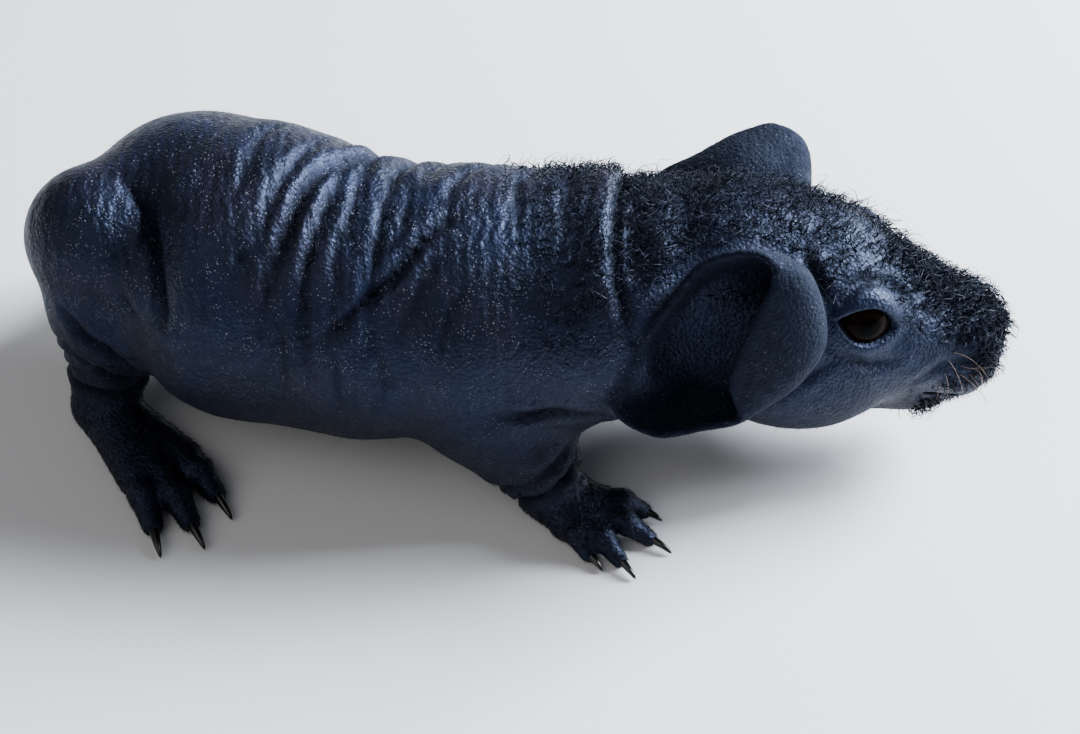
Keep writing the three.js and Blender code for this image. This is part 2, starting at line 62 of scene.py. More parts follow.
# %% The animal's measures
SPINE = (
    (-48.5, 9.2, 26.0, 16.2), (-39.0, 2.6, 23.7, 20.3), (-24.0, -2.6, 22.7, 18.2),
    (-8.0, -4.2, 24.0, 17.8), (8.0, -4.2, 25.2, 16.3), (22.0, -4.0, 27.0, 12.6),
)
LEGS = {
    "hindleg_right": ((-50, 6, 27, 13), (-60.7, 1.8, 30.6, 9.2), (-60, -0.5, 19.5, 8.3),
                      (-61.7, -1.8, 9.5, 4.9), (-62.5, -4.4, 5.2, 4.4)),
    "hindleg_left": ((-47, 14, 25, 12), (-54.5, 18.6, 22.8, 9.5), (-50.5, 22.5, 17, 8.0),
                     (-57, 24.5, 9.5, 4.9), (-58.5, 26.5, 5.2, 4.4)),
    "foreleg_right": ((3, -10, 25, 9.5), (-7, -15.8, 15, 8.0), (-1.5, -18.6, 9.6, 6.0),
                      (1.2, -20.9, 5.6, 4.3)),
    "foreleg_left": ((5, 4, 24, 9.5), (-3, 8.6, 15, 7.4), (3, 11, 9.6, 5.6), (6.4, 12.6, 5.6, 4.2)),
}
HIND = {"heel_radius": 4.1, "toe_radius": 2.3, "claw_radius": 0.85}
FORE = {"heel_radius": 3.8, "toe_radius": 1.85, "claw_radius": 0.7}
# Each foot has its heel, then for each toe the root, the end and the tip of the claw, all in plan
FEET = {
    "hindfoot_right": {**HIND, "heel": (-63.0, -4.6), "toes": (
        ((-56.6, -17.4), (-53.6, -25.4), (-51.9, -30.6)),
        ((-52.9, -17.8), (-48.6, -24.6), (-46.0, -29.1)),
        ((-50.6, -14.2), (-45.6, -19.4), (-42.8, -23.7)))},
    "hindfoot_left": {**HIND, "heel": (-59.2, 27), "toes": (
        ((-46.0, 33.4), (-38.2, 36.4), (-33.2, 37.4)),
        ((-44.6, 30.6), (-36.4, 32.4), (-31.2, 32.6)),
        ((-45.6, 27.4), (-38.2, 27.8), (-33.2, 27.4)))},
    "forefoot_right": {**FORE, "heel": (1.4, -21.0), "toes": (
        ((3.6, -25.8), (6.6, -30.2), (8.5, -32.8)),
        ((6.4, -26.2), (10.8, -31.2), (13.0, -34.2)),
        ((8.6, -24.4), (15.0, -27.4), (18.1, -29.7)),
        ((8.6, -21.8), (14.4, -22.4), (17.0, -23.8)))},
    "forefoot_left": {**FORE, "heel": (6.8, 12.8), "toes": (
        ((12.0, 16.6), (17.4, 19.8), (20.4, 21.4)),
        ((13.8, 14.8), (20.4, 16.6), (23.8, 17.2)),
        ((14.0, 12.4), (20.8, 12.6), (24.2, 12.2)),
        ((12.6, 10.2), (18.2, 8.8), (21.0, 7.8)))},
}
# A sole is pressed flat by this much, a toe thins from root to end, and its knuckle stands up
SINK = 0.35
TOE_ROOT, TOE_END = 1.35, 0.75
KNUCKLE_RISE = 1.1
HEAD_CENTRE = np.array((36.0, -3.5, 24.5))
HEAD_YAW, HEAD_PITCH, HEAD_ROLL = (math.radians(d) for d in (4, 13, 8))
EYE_CENTRE = np.array((6.0, 7.8, 4.5))
EYE_RADIUS = 4.6
EYE_GAZE = np.array((0.255, 0.951, 0.174))
LID = 0.9
SIDES = {"right": np.array((1.0, 1.0, 1.0)), "left": np.array((1.0, -1.0, 1.0))}


def head_axes():
    """Columns: forward, to the animal's right, up."""
    level_part = math.cos(HEAD_PITCH)
    forward = np.array((
        level_part * math.cos(HEAD_YAW), -level_part * math.sin(HEAD_YAW), -math.sin(HEAD_PITCH)))
    level = np.array((-math.sin(HEAD_YAW), -math.cos(HEAD_YAW), 0.0))
    upright = np.cross(level, forward)
    right = level * math.cos(HEAD_ROLL) + upright * math.sin(HEAD_ROLL)
    up = upright * math.cos(HEAD_ROLL) - level * math.sin(HEAD_ROLL)
    return np.stack((forward, right, up), axis=1)


HEAD_AXES = head_axes()


def on_head(points):
    """From the head's own frame to the animal's."""
    return np.asarray(points, float) @ HEAD_AXES.T + HEAD_CENTRE


def in_head(points):
    return (points - HEAD_CENTRE) @ HEAD_AXES


# The solids were centred over the floor when they were packed. The eye shows by how much.
eye_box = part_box("eye_right")
SHIFT = np.array((eye_box[0] + eye_box[1]) / 2) / MM - on_head(EYE_CENTRE)
print("the packed model is shifted by", SHIFT.round(3), "mm")

# %% [markdown]
# A limb is measured to the nearest point of the line between its ends, less a radius that changes along
# it. An ellipsoid uses the usual first-order estimate, which is right near its surface.


# %% Distances
def smooth_union(a, b, k):
    h = np.maximum(k - np.abs(a - b), 0) / k
    return np.minimum(a, b) - h * h * k / 4


def smooth_cut(a, b, k):
    return -smooth_union(-a, b, k)


def ramp(x, low, high):
    """0 below low, 1 above high and smooth between."""
    t = np.clip((x - low) / (high - low), 0, 1)
    return t * t * (3 - 2 * t)


def within(p, low, high, reach):
    """Which points are in a box that is enlarged by a reach on every side."""
    return np.all((p > low - reach) & (p < high + reach), axis=1)


def limb(start, end, r1, r2):
    """A limb as a distance function, with the box that it reaches."""
    a, b = np.asarray(start, float), np.asarray(end, float)
    along = b - a
    length2 = max(along @ along, 1e-9)

    def distance(p):
        rel = p - a
        t = np.clip(rel @ along / length2, 0, 1)
        return np.linalg.norm(rel - t[..., None] * along, axis=-1) - (r1 + (r2 - r1) * t)

    return distance, np.minimum(a - r1, b - r2), np.maximum(a + r1, b + r2)


def egg(centre, radii):
    """An ellipsoid in the head's frame."""
    centre, radii = np.asarray(centre, float), np.asarray(radii, float)

    def distance(p):
        q = in_head(p) - centre
        k0 = np.linalg.norm(q / radii, axis=-1)
        k1 = np.linalg.norm(q / (radii * radii), axis=-1)
        return k0 * (k0 - 1) / np.maximum(k1, 1e-6)

    middle = on_head(centre)
    return distance, middle - radii.max(), middle + radii.max()


def chain(stations, k):
    return [(limb(s[:3], e[:3], s[3], e[3]), k) for s, e in zip(stations, stations[1:])]


def head_limb(start, end, r1, r2, k):
    return (limb(on_head(start), on_head(end), r1, r2), k)


def both_sides(centre, radii, k):
    return [(egg(side * centre, radii), k) for side in SIDES.values()]


test_limb = limb((0, 0, 0), (9, 0, 0), 1, 1)[0]
print("distance 4 mm beside a limb of radius 1:", test_limb(np.array((4.0, 0, 4.0))))

# %% [markdown]
# The head is made of eggs for the skull, snout, cheeks and lips, and of short limbs for the brow, the jaw
# and the bulge round each eye. The trunk is a chain of limbs along the spine. Each has a number that
# says how softly it melts into the others.

# %% Head and trunk
HEAD_PARTS = [
    (egg((-8, 0, 1.5), (17, 14.2, 13.6)), 5),
    head_limb((3, 0, 2.4), (20.5, 0, -0.6), 11.2, 7.4, 5),
    (egg((22.8, 0, -2.0), (7.1, 7.4, 7.6)), 4),
    *both_sides((10, 5.6, -1.8), (10, 5.4, 7.8), 4),
    *both_sides((-1, 8.0, -6.4), (14.0, 7.4, 9.4), 4),
    head_limb((3, 0, -9.0), (19.4, 0, -8.8), 7.8, 5.4, 4),
    *both_sides((22.6, 3.4, -3.6), (5.2, 4.2, 4.4), 2),
    *[head_limb(side * EYE_CENTRE, side * EYE_CENTRE, EYE_RADIUS + LID, EYE_RADIUS + LID, 2)
      for side in SIDES.values()],
]
TRUNK = chain(SPINE, 5) + HEAD_PARTS
EAR_HOLLOWS = both_sides((-11.5, 17.0, 0.0), (9.5, 4.6, 9.5), 2)
print("parts of head and trunk:", len(TRUNK))

# %% [markdown]
# A foot is a fan of toes from one heel, so a loop makes them. Each toe has a root, a knuckle and an end,
# and all rest on the floor, which presses their soles flat. A leg is a chain, as the trunk is.

# %% Legs and feet


def resting(plan, radius):
    return np.array((*plan, radius - SINK))


def foot_parts(foot):
    radius = foot["toe_radius"]
    heel = resting(foot["heel"], foot["heel_radius"])
    parts = []
    for root_plan, end_plan, _ in foot["toes"]:
        root, end = resting(root_plan, radius * TOE_ROOT), resting(end_plan, radius * TOE_END)
        knuckle = (root + end) / 2 + (0, 0, KNUCKLE_RISE)
        parts += [
            (limb(heel, root, foot["heel_radius"], radius * TOE_ROOT), 1.5),
            (limb(root, knuckle, radius * 1.15, radius), 0.8),
            (limb(knuckle, end, radius, radius * TOE_END), 0.8),
        ]
    return parts


# Groups that are melted together inside, then one after another on to the trunk: parts and k
GROUPS = [(chain(stations, 4), 4) for stations in LEGS.values()]
GROUPS += [(foot_parts(foot), 1.5) for foot in FEET.values()]
print("limbs and ellipsoids:", len(TRUNK) + sum(len(parts) for parts, _ in GROUPS))

# %% [markdown]
# The ear is a thin wall, like a petal rolled into a cup. Three loops describe it: its base on the head,
# the curve that it bends round, and its rim. The front wall folds back over the hollow. Its distance is
# measured to a sheet of quads through the middle of the wall, less half of its thickness.

# %% The ears' walls
EAR_BASE_CENTRE, EAR_BASE_RADII = (-8.5, 9.5, 1.5), (7.5, 9.0)
# Angle on the base, bend and rim in the head's frame, then the left ear's own bend and rim: its top is
# rolled forward into a rounded lobe
EAR_STATIONS = (
    (300, (-2, 18, -7), (-7, 21, -7.5), None),
    (335, (3.5, 21, -2.5), (-9.7, 20.5, -2.4), None),
    (375, (6, 20, 5), (-9.6, 20, 5.6), ((4.2, 20, 5), (-9.0, 20, 6.2))),
    (415, (-1, 17, 15), (-8.7, 18.5, 14), ((0.8, 17, 15.2), (-6.8, 18.6, 14.8))),
    (440, (-8, 13.5, 15), (-11.8, 16, 15.8), ((-8, 13.5, 15), (-12.4, 17.3, 12.8))),
    (475, (-14, 12, 12), (-17.7, 15, 12), ((-14, 12, 12), (-17.2, 16, 8.8))),
    (510, (-18, 11, 6.5), (-20.6, 16, 5.1), ((-18, 11, 6.5), (-21.2, 16, 4.6))),
    (540, (-20, 11.5, 0), (-22.8, 17.2, -1.7), None),
    (575, (-19, 13, -8), (-23.7, 18.6, -11.2), None),
    (605, (-14, 15, -12), (-17.3, 20.5, -13.4), None),
    (632, (-9, 17, -11), (-11.4, 21.5, -10), None),
)
EAR_AROUND, EAR_ROWS = 132, 24
EAR_WALL_BASE, EAR_WALL_RIM, EAR_MELT = 1.5, 1.0, 1.4


def closed_curve(points, count):
    """A Catmull-Rom curve through a closed loop of points, sampled evenly in its parameter."""
    points = np.asarray(points, float)
    n = len(points)
    out = []
    for u in np.arange(count) / count * n:
        i, t = int(u), u - int(u)
        p0, p1, p2, p3 = (points[(i + j) % n] for j in (-1, 0, 1, 2))
        m1, m2 = (p2 - p0) / 2, (p3 - p1) / 2
        out.append((2 * t**3 - 3 * t**2 + 1) * p1 + (t**3 - 2 * t**2 + t) * m1
                   + (3 * t**2 - 2 * t**3) * p2 + (t**3 - t**2) * m2)
    return np.array(out)


def ear_sheet(name):
    side = SIDES[name]
    base = [(EAR_BASE_CENTRE[0] + EAR_BASE_RADII[0] * math.cos(math.radians(a)), EAR_BASE_CENTRE[1],
             EAR_BASE_CENTRE[2] + EAR_BASE_RADII[1] * math.sin(math.radians(a))) for a, *_ in EAR_STATIONS]
    bend, rim = zip(*[own if name == "left" and own else (bent, edge) for _, bent, edge, own in EAR_STATIONS])
    loops = [closed_curve(p, EAR_AROUND) for p in (base, bend, rim)]
    t = np.linspace(0, 1, EAR_ROWS)[:, None, None]
    wall = (1 - t) ** 2 * loops[0] + 2 * t * (1 - t) * loops[1] + t**2 * loops[2]
    around = np.roll(wall, -1, axis=1) - np.roll(wall, 1, axis=1)
    inward = np.cross(around, np.gradient(wall, axis=0))
    inward /= np.linalg.norm(inward, axis=-1, keepdims=True)
    middle = on_head((wall + inward * 0.5) * side)
    quads = [(r * EAR_AROUND + c, r * EAR_AROUND + (c + 1) % EAR_AROUND,
              (r + 1) * EAR_AROUND + (c + 1) % EAR_AROUND, (r + 1) * EAR_AROUND + c)
             for r in range(EAR_ROWS - 1) for c in range(EAR_AROUND)]
    points = middle.reshape(-1, 3)
    return BVHTree.FromPolygons(points.tolist(), quads), points.min(0) - 2, points.max(0) + 2


EARS = {name: ear_sheet(name) for name in SIDES}


def ear_distance(name, p):
    """Distance to an ear's wall, which is thinner towards its rim. A face's number tells its row."""
    tree, _, _ = EARS[name]
    out = np.empty(len(p))
    for i, q in enumerate(p.tolist()):
        _, _, face, away = tree.find_nearest(q)
        row = face // EAR_AROUND / (EAR_ROWS - 1)
        out[i] = away - (EAR_WALL_BASE + (EAR_WALL_RIM - EAR_WALL_BASE) * row) / 2
    return out


print("ear sheets:", {name: (e[2] - e[1]).round(1).tolist() for name, e in EARS.items()})

# %% [markdown]
# An eye looks out between two lids. The opening is an almond that is drawn on the eyeball, each lid has
# a rounded rim along it, and everything inside the almond is cut away down to the ball. Lids could be
# sculpted too, but as part of the field they melt into the brow and cheek without an edge.

# %% Lids
ALMOND_HALF, ALMOND_HEIGHT = 3.65, 2.45
# The ball is smaller than its radius by this much, and its socket is larger
EYE_GAP = 0.04
# Each lid has a thin rim by the opening and a thicker pad round it: distance out, radius, melt
LID_RINGS = ((0.32, 0.42, 0.9), (1.85, 0.85, 1.3))


def eye_axes(side):
    """Columns: towards the nose, up, out along the gaze, in the animal's frame."""
    gaze = side * EYE_GAZE / np.linalg.norm(EYE_GAZE)
    ahead = np.array((1.0, 0, 0)) - gaze * gaze[0]
    ahead /= np.linalg.norm(ahead)
    upward = np.cross(gaze, ahead) * side[1]
    return HEAD_AXES @ np.stack((ahead, upward, gaze), axis=1)


def almond_y(x):
    return ALMOND_HEIGHT * np.maximum(1 - (x / ALMOND_HALF) ** 2, 0) ** 0.8


def lid_ring(side, away):
    """Points round the opening, this far outside of it, on the eyeball."""
    turn = np.linspace(0, 2 * np.pi, 40, endpoint=False)
    x = ALMOND_HALF * np.cos(turn)
    y = almond_y(x) * np.sign(np.sin(turn))
    size = np.maximum(np.hypot(x, y), 1)
    # Bent round the ball: the distance from the middle of the opening becomes an angle
    bend = (size + away) / (EYE_RADIUS + 0.6)
    radius = EYE_RADIUS + 0.15
    local = np.column_stack((x / size * np.sin(bend), y / size * np.sin(bend), np.cos(bend))) * radius
    return local @ eye_axes(side).T + on_head(side * EYE_CENTRE)


def path_distance(p, path, closed=False):
    """Distance from each point to a line through a few points."""
    path = np.asarray(path, float)
    starts, ends = (path, np.roll(path, -1, axis=0)) if closed else (path[:-1], path[1:])
    best = np.full(len(p), 1e3)
    for a, b in zip(starts, ends):
        along = b - a
        t = np.clip((p - a) @ along / max(along @ along, 1e-9), 0, 1)
        best = np.minimum(best, np.linalg.norm(p - a - t[:, None] * along, axis=1))
    return best


def shape_eye(side, p, d):
    centre = on_head(side * EYE_CENTRE)
    near = np.linalg.norm(p - centre, axis=1) < EYE_RADIUS + 4
    q, e = p[near], d[near]
    for away, radius, melt in reversed(LID_RINGS):
        ring = path_distance(q, lid_ring(side, away), closed=True) - radius
        e = smooth_union(e, ring, melt)
    local = (q - centre) @ eye_axes(side)
    size = np.maximum(np.linalg.norm(local, axis=1), 1e-6)
    x, y = (local[:, :2] * EYE_RADIUS / size[:, None]).T
    opening = np.where(local[:, 2] > 0, np.maximum(np.abs(y) - almond_y(x), np.abs(x) - ALMOND_HALF), 5)
    e = smooth_cut(e, opening, 0.4)
    e = smooth_cut(e, size - (EYE_RADIUS + EYE_GAP), 0.15)
    out = d.copy()
    out[near] = e
    return out


print("eye openings", 2 * ALMOND_HALF, "mm wide")

# %% [markdown]
# The mouth is a thin slit that runs level round the front of the jaw. Each nostril is a comma, cut by two
# small eggs.

# %% Mouth and nostrils
MOUTH_LINE = ((19.6, -6.8), (23.5, -6.6), (27.0, -5.9), (34.0, -5.2))
MOUTH_HALF, MOUTH_DEPTH = 0.22, 1.8
NOSTRILS = [(egg(s * (29.3, 2.1, 0.5), (1.5, 0.75, 1.1)), 0.4) for s in SIDES.values()]
NOSTRILS += [(egg(s * (28.9, 3.0, 1.1), (1.4, 1.0, 0.5)), 0.4) for s in SIDES.values()]


def shape_mouth(p, d):
    q = in_head(p)
    near = (q[:, 0] > 18) & (np.abs(q[:, 2] + 6) < 4) & (d > -4)
    line = np.column_stack((MOUTH_LINE, np.zeros(len(MOUTH_LINE))))[:, (0, 2, 1)]
    flat = q[near] * (1, 0, 1)
    slit = path_distance(flat, line) - MOUTH_HALF
    out = d.copy()
    out[near] = smooth_cut(d[near], np.maximum(slit, -d[near] - MOUTH_DEPTH), 0.5)
    for nostril, k in NOSTRILS:
        out = smooth_cut(out, nostril[0](p), k)
    return out


print("mouth line of", len(MOUTH_LINE), "points, nostrils cut by", len(NOSTRILS), "eggs")

# %% [markdown]
# The whole field at any points. Parts are only added where they reach, which keeps it quick, and each
# later form is melted on or cut out in turn. The skin lies a little inside the flesh of the solids,
# because the solids reach as far as the coat does.


# %% The field
def add_parts(p, parts, d):
    for (distance, low, high), k in parts:
        near = within(p, low, high, k + 1.5)
        if near.any():
            d[near] = smooth_union(d[near], distance(p[near]), k)
    return d


FAR = 50.0
# The skin lies this far inside the solids, in mm, and the coat fills the rest
DEPTH_BARE, DEPTH_FEET, DEPTH_FUZZ = 0.10, 0.22, 0.55


def coat_depth(p):
    q = in_head(p)
    fuzzy = ramp(p[:, 0], 10.5, 14) * np.maximum(ramp(q[:, 2], 2, 7), ramp(q[:, 0], 18, 23))
    for side in SIDES.values():
        fuzzy *= ramp(np.linalg.norm(q - side * EYE_CENTRE, axis=1), 6.5, 9.5)
    feet = 1 - ramp(p[:, 2], 6, 9)
    return DEPTH_BARE + (DEPTH_FEET - DEPTH_BARE) * feet + (DEPTH_FUZZ - DEPTH_BARE) * fuzzy


def flesh_at(p):
    d = add_parts(p, TRUNK, np.full(len(p), FAR))
    for (distance, low, high), k in EAR_HOLLOWS:
        near = within(p, low, high, 3)
        d[near] = smooth_cut(d[near], distance(p[near]), k)
    for parts, k in GROUPS:
        low = np.min([part[0][1] for part in parts], axis=0)
        high = np.max([part[0][2] for part in parts], axis=0)
        near = within(p, low, high, k + 1.5)
        group = add_parts(p[near], parts, np.full(near.sum(), FAR))
        d[near] = smooth_union(d[near], group, k)
    return d


def skin_at(p):
    d = flesh_at(p) + coat_depth(p)
    for name, (_, low, high) in EARS.items():
        near = within(p, low, high, 0) & (d > -2.5)
        d[near] = smooth_union(d[near], ear_distance(name, p[near]), EAR_MELT)
    for side in SIDES.values():
        d = shape_eye(side, p, d)
    d = shape_mouth(p, d)
    return np.maximum(d, -p[:, 2])


print("distance at the middle of the trunk:", skin_at(np.array([[-24.0, -2.6, 22.7]])).round(2), "mm")

# %% [markdown]
# The skin is found on a grid of boxes, smaller on the head, by the field's value at their corners. Only
# the corners near the surface need their true distance. Metaballs or remeshed spheres would be less to
# write, but they can't hold the thin lids and ears at this size.

# %% The grid of boxes
CELL_BODY, CELL_HEAD, CELL_SIDE = 0.88, 0.58, 0.64
HEAD_START = 11.0
# The coarse grid takes every so many corners, and its band is this wide on each side of the surface
COARSE_STEP, COARSE_BAND = 4, 6.5
axis_x = np.concatenate((np.arange(-73.0, HEAD_START, CELL_BODY), np.arange(HEAD_START, 69.5, CELL_HEAD)))
axis_y = np.arange(-35.5, 40.5, CELL_SIDE)
axis_z = np.arange(-1.2, 48.0, CELL_SIDE)
AXES = (axis_x, axis_y, axis_z)


def field_on_grid():
    """Only boxes near the surface need their true distance, so a coarse grid picks them first."""
    coarse = [np.append(a[::COARSE_STEP], a[-1]) for a in AXES]
    shape = [len(c) for c in coarse]
    spots = np.stack(np.meshgrid(*coarse, indexing="ij"), axis=-1).reshape(-1, 3)
    rough = flesh_at(spots).reshape(shape)
    band = np.abs(rough) < COARSE_BAND
    for _, low, high in EARS.values():
        block = tuple(slice(max(np.searchsorted(c, a) - 1, 0), np.searchsorted(c, b) + 1)
                      for c, a, b in zip(coarse, low, high))
        band[block] = True
    value = np.empty([len(a) for a in AXES])
    picks = [np.clip(np.round(np.arange(len(a)) / COARSE_STEP).astype(int), 0, n - 1)
             for a, n in zip(AXES, shape)]
    value[:] = rough[np.ix_(*picks)]
    fine = band[np.ix_(*picks)]
    index = np.argwhere(fine)
    points = np.column_stack([AXES[i][index[:, i]] for i in range(3)])
    value[tuple(index.T)] = skin_at(points)
    print("grid", value.shape, "measured in full at", len(index))
    return value


field_values = field_on_grid()

# %% [markdown]
# Every box that the surface passes through gets one vertex, and every grid edge that crosses the surface
# gets one quad. Squares whose diagonal corners alone are inside would make the mesh touch itself along
# an edge, so they are filled first.


# %% Surface net
def fill_pinches(value):
    """Fills one outer corner of each grid square whose diagonal corners are inside."""
    while True:
        filled = 0
        for axis in range(3):
            v = np.moveaxis(value, axis, 0)
            corners = [v[:, :-1, :-1], v[:, 1:, :-1], v[:, 1:, 1:], v[:, :-1, 1:]]
            inside = [c < 0 for c in corners]
            first = inside[0] & inside[2] & ~inside[1] & ~inside[3]
            second = inside[1] & inside[3] & ~inside[0] & ~inside[2]
            for bad, outer in ((first, (1, 3)), (second, (0, 2))):
                if bad.any():
                    corners[outer[0]][bad] = -0.02
                    filled += int(bad.sum())
        if not filled:
            return value


def surface_net(value):
    inside = value < 0
    nx, ny, nz = np.array(value.shape) - 1
    corner_sum = sum(inside[i:nx + i, j:ny + j, k:nz + k].astype(int)
                     for i in (0, 1) for j in (0, 1) for k in (0, 1))
    cells = np.argwhere((corner_sum > 0) & (corner_sum < 8))
    number = np.full(corner_sum.shape, -1, dtype=np.int64)
    number[tuple(cells.T)] = np.arange(len(cells))
    total, crossings = np.zeros((len(cells), 3)), np.zeros(len(cells))
    for axis in range(3):
        u, v = (axis + 1) % 3, (axis + 2) % 3
        for m in (0, 1):
            for n in (0, 1):
                a = cells.copy()
                a[:, u] += m
                a[:, v] += n
                b = a.copy()
                b[:, axis] += 1
                va, vb = value[tuple(a.T)], value[tuple(b.T)]
                hit = (va < 0) != (vb < 0)
                t = va[hit] / (va[hit] - vb[hit])
                pa = np.column_stack([AXES[i][a[hit, i]] for i in range(3)])
                pb = np.column_stack([AXES[i][b[hit, i]] for i in range(3)])
                total[hit] += pa + (pb - pa) * t[:, None]
                crossings[hit] += 1
    points = total / crossings[:, None]
    quads = []
    for axis in range(3):
        u, v = (axis + 1) % 3, (axis + 2) % 3
        a = np.take(inside, range(value.shape[axis] - 1), axis)
        b = np.take(inside, range(1, value.shape[axis]), axis)
        edges = np.argwhere(a != b)
        ring = []
        for du, dv in ((0, 0), (-1, 0), (-1, -1), (0, -1)):
            cell = edges.copy()
            cell[:, u] += du
            cell[:, v] += dv
            ring.append(number[tuple(cell.T)])
        ring = np.column_stack(ring)
        flip = ~a[tuple(edges.T)]
        ring[flip] = ring[flip][:, ::-1]
        quads.append(ring)
    return points, np.concatenate(quads)


skin_points, skin_quads = surface_net(fill_pinches(field_values))
print("skin", len(skin_points), "vertices,", 2 * len(skin_quads), "triangles")

# %% [markdown]
# The net's vertices are only near the surface. Each is moved straight on to it, by the field's value and
# its slope there.


# %% Settling on the surface
SLOPE_STEP = 0.04


def slopes(p, field):
    here = field(p)
    steps = np.eye(3) * SLOPE_STEP
    return here, np.column_stack([(field(p + step) - here) / SLOPE_STEP for step in steps])


def settled(points, field, most, rounds=2):
    for _ in range(rounds):
        d, slope = slopes(points, field)
        size = (slope**2).sum(1)
        move = -slope * (d / np.maximum(size, 0.25))[:, None]
        far = np.linalg.norm(move, axis=1)
        points = points + move * np.minimum(1, most / np.maximum(far, 1e-9))[:, None]
    return points


skin_points = settled(skin_points, skin_at, most=0.3)
print("mean distance from the surface now:", np.abs(skin_at(skin_points)).mean().round(4), "mm")

# %% [markdown]
# The face needs smaller triangles than the back, for its lids, lips and nostrils. Edges near them are
# split in half, each triangle is divided to suit, and the new points are moved on to the field as the
# others were.

# %% Finer triangles on the face
def as_triangles(points, quads):
    """Cuts each quad along its shorter diagonal."""
    a, b, c, d = quads.T
    short = np.linalg.norm(points[a] - points[c], axis=1) < np.linalg.norm(points[b] - points[d], axis=1)
    first = np.where(short[:, None], np.column_stack((a, b, c)), np.column_stack((a, b, d)))
    second = np.where(short[:, None], np.column_stack((a, c, d)), np.column_stack((b, c, d)))
    return np.concatenate((first, second))


def refined(points, tris, wanted):
    """Splits the edges that wanted(middles) picks, and divides their triangles in two, three or four."""
    ends = np.sort(tris[:, ((0, 1), (1, 2), (2, 0))].reshape(-1, 2), axis=1)
    keys, back = np.unique(ends[:, 0] * len(points) + ends[:, 1], return_inverse=True)
    middles = (points[keys // len(points)] + points[keys % len(points)]) / 2
    split = wanted(middles)
    number = np.full(len(keys), -1)
    number[split] = len(points) + np.arange(split.sum())
    mid = number[back.reshape(-1, 3)]
    count = (mid >= 0).sum(1)
    out = [tris[count == 0]]
    for turn in range(3):
        t, m = np.roll(tris, -turn, axis=1), np.roll(mid, -turn, axis=1)
        one = (count == 1) & (m[:, 0] >= 0)
        (a, b, c), (ab, _, _) = t[one].T, m[one].T
        out += [np.column_stack((a, ab, c)), np.column_stack((ab, b, c))]
        two = (count == 2) & (m[:, 2] < 0)
        (a, b, c), (ab, bc, _) = t[two].T, m[two].T
        out += [np.column_stack((ab, b, bc)), np.column_stack((a, ab, bc)), np.column_stack((a, bc, c))]
    (a, b, c), (ab, bc, ca) = tris[count == 3].T, mid[count == 3].T
    out += [np.column_stack(x) for x in ((a, ab, ca), (ab, b, bc), (ca, bc, c), (ab, bc, ca))]
    return np.concatenate((points, middles[split])), np.concatenate(out)


def face_detail(middles):
    q = in_head(middles)
    wanted = (q[:, 0] > 18) & (np.abs(q[:, 2] + 6) < 1.2)
    for side in SIDES.values():
        local = (middles - on_head(side * EYE_CENTRE)) @ eye_axes(side)
        wanted |= (np.hypot(local[:, 0], 1.3 * local[:, 1]) < 6.0) & (local[:, 2] > 0)
        wanted |= np.linalg.norm(q - side * (29.0, 2.5, 0.7), axis=1) < 2.6
    return wanted


skin_tris = as_triangles(skin_points, skin_quads)
for _ in range(2):
    skin_points, skin_tris = refined(skin_points, skin_tris, face_detail)
    skin_points = settled(skin_points, skin_at, most=0.2, rounds=3)
print("skin", len(skin_points), "vertices,", len(skin_tris), "triangles")

# %% [markdown]
# Without fur every fold shows. The folds over the back run from the spine down the side, where the skin
# gathers as the animal hunches. Each is a line on the body, drawn by its angle from the top of the back
# and its place along the body. The skin sinks at the line and swells a little beside it.

# %% Folds of the skin
# Angle in degrees from the top of the back, towards the right side, and place along the body in mm
BACK_FOLDS = (
    (0.75, (-70, -20), (-38, -23), (-5, -28.6), (13, -31.6), (27, -33), (47, -35.2), (69, -36.7)),
    (0.8, (-80, -16.5), (-45, -20.5), (-20, -25.4), (5, -27.5), (27, -29.4), (42, -30.7), (83, -30.7)),
    (0.7, (-62, -17.5), (-31, -23.2), (-11, -23.8), (8, -24.6), (31, -26.4), (59, -26.7)),
    (0.65, (-72, -12), (-40, -17), (-15, -19.7), (0, -20.2), (20, -21.1), (40, -22.1), (66, -21.9)),
    (0.8, (5, -9.4), (14, -12.7), (23, -15.6), (38, -19.1), (49, -23.4), (57, -25.6), (68, -29.7)),
    (0.45, (-60, -9.5), (-26, -14.9), (-10, -15.3)),
    (0.5, (-50, -4.5), (-19, -10.1), (-8, -11.5), (7, -12.7), (15, -12.8)),
    (0.4, (-34, 0.5), (-10, -3.1), (6, -3.3), (16, -3.6)),
    (0.5, (-40, -34.5), (-14, -37.8), (15, -39.3), (23, -40.7)),
    (0.4, (41, -38.7), (47, -39.1)),
    (0.85, (-75, 13), (-40, 12.2), (-12, 10.9), (6, 10.2), (23, 9.8), (41, 10.0), (70, 12)),
    (0.35, (-60, 6.5), (-25, 4.2), (-2, 3.4), (18, 3.2)),
    (0.4, (-30, -29), (-2, -32.6), (20, -35.4), (44, -37.2)),
    (0.35, (-34, -25.5), (0, -30.4), (18, -31.6), (34, -33.0), (52, -33.4)),
    (0.35, (-22, -23.6), (2, -25.8), (20, -27.2), (40, -28.4), (60, -28.6)),
    (0.35, (-16, -21.6), (6, -22.6), (24, -24.0), (44, -24.4)),
    (0.35, (-12, -17.4), (4, -17.9), (20, -18.6), (34, -19.4)),
    (0.3, (24, -12.4), (36, -14.6), (50, -16.6), (62, -18.2)),
    (0.3, (40, -9.0), (52, -11.8), (66, -13.0)),
    (0.35, (60, -34.2), (76, -33.6), (92, -34.4)),
    (0.3, (64, -27.6), (80, -26.6), (96, -27.2)),
    (0.3, (62, -21.0), (80, -20.4), (98, -21.6)),
)
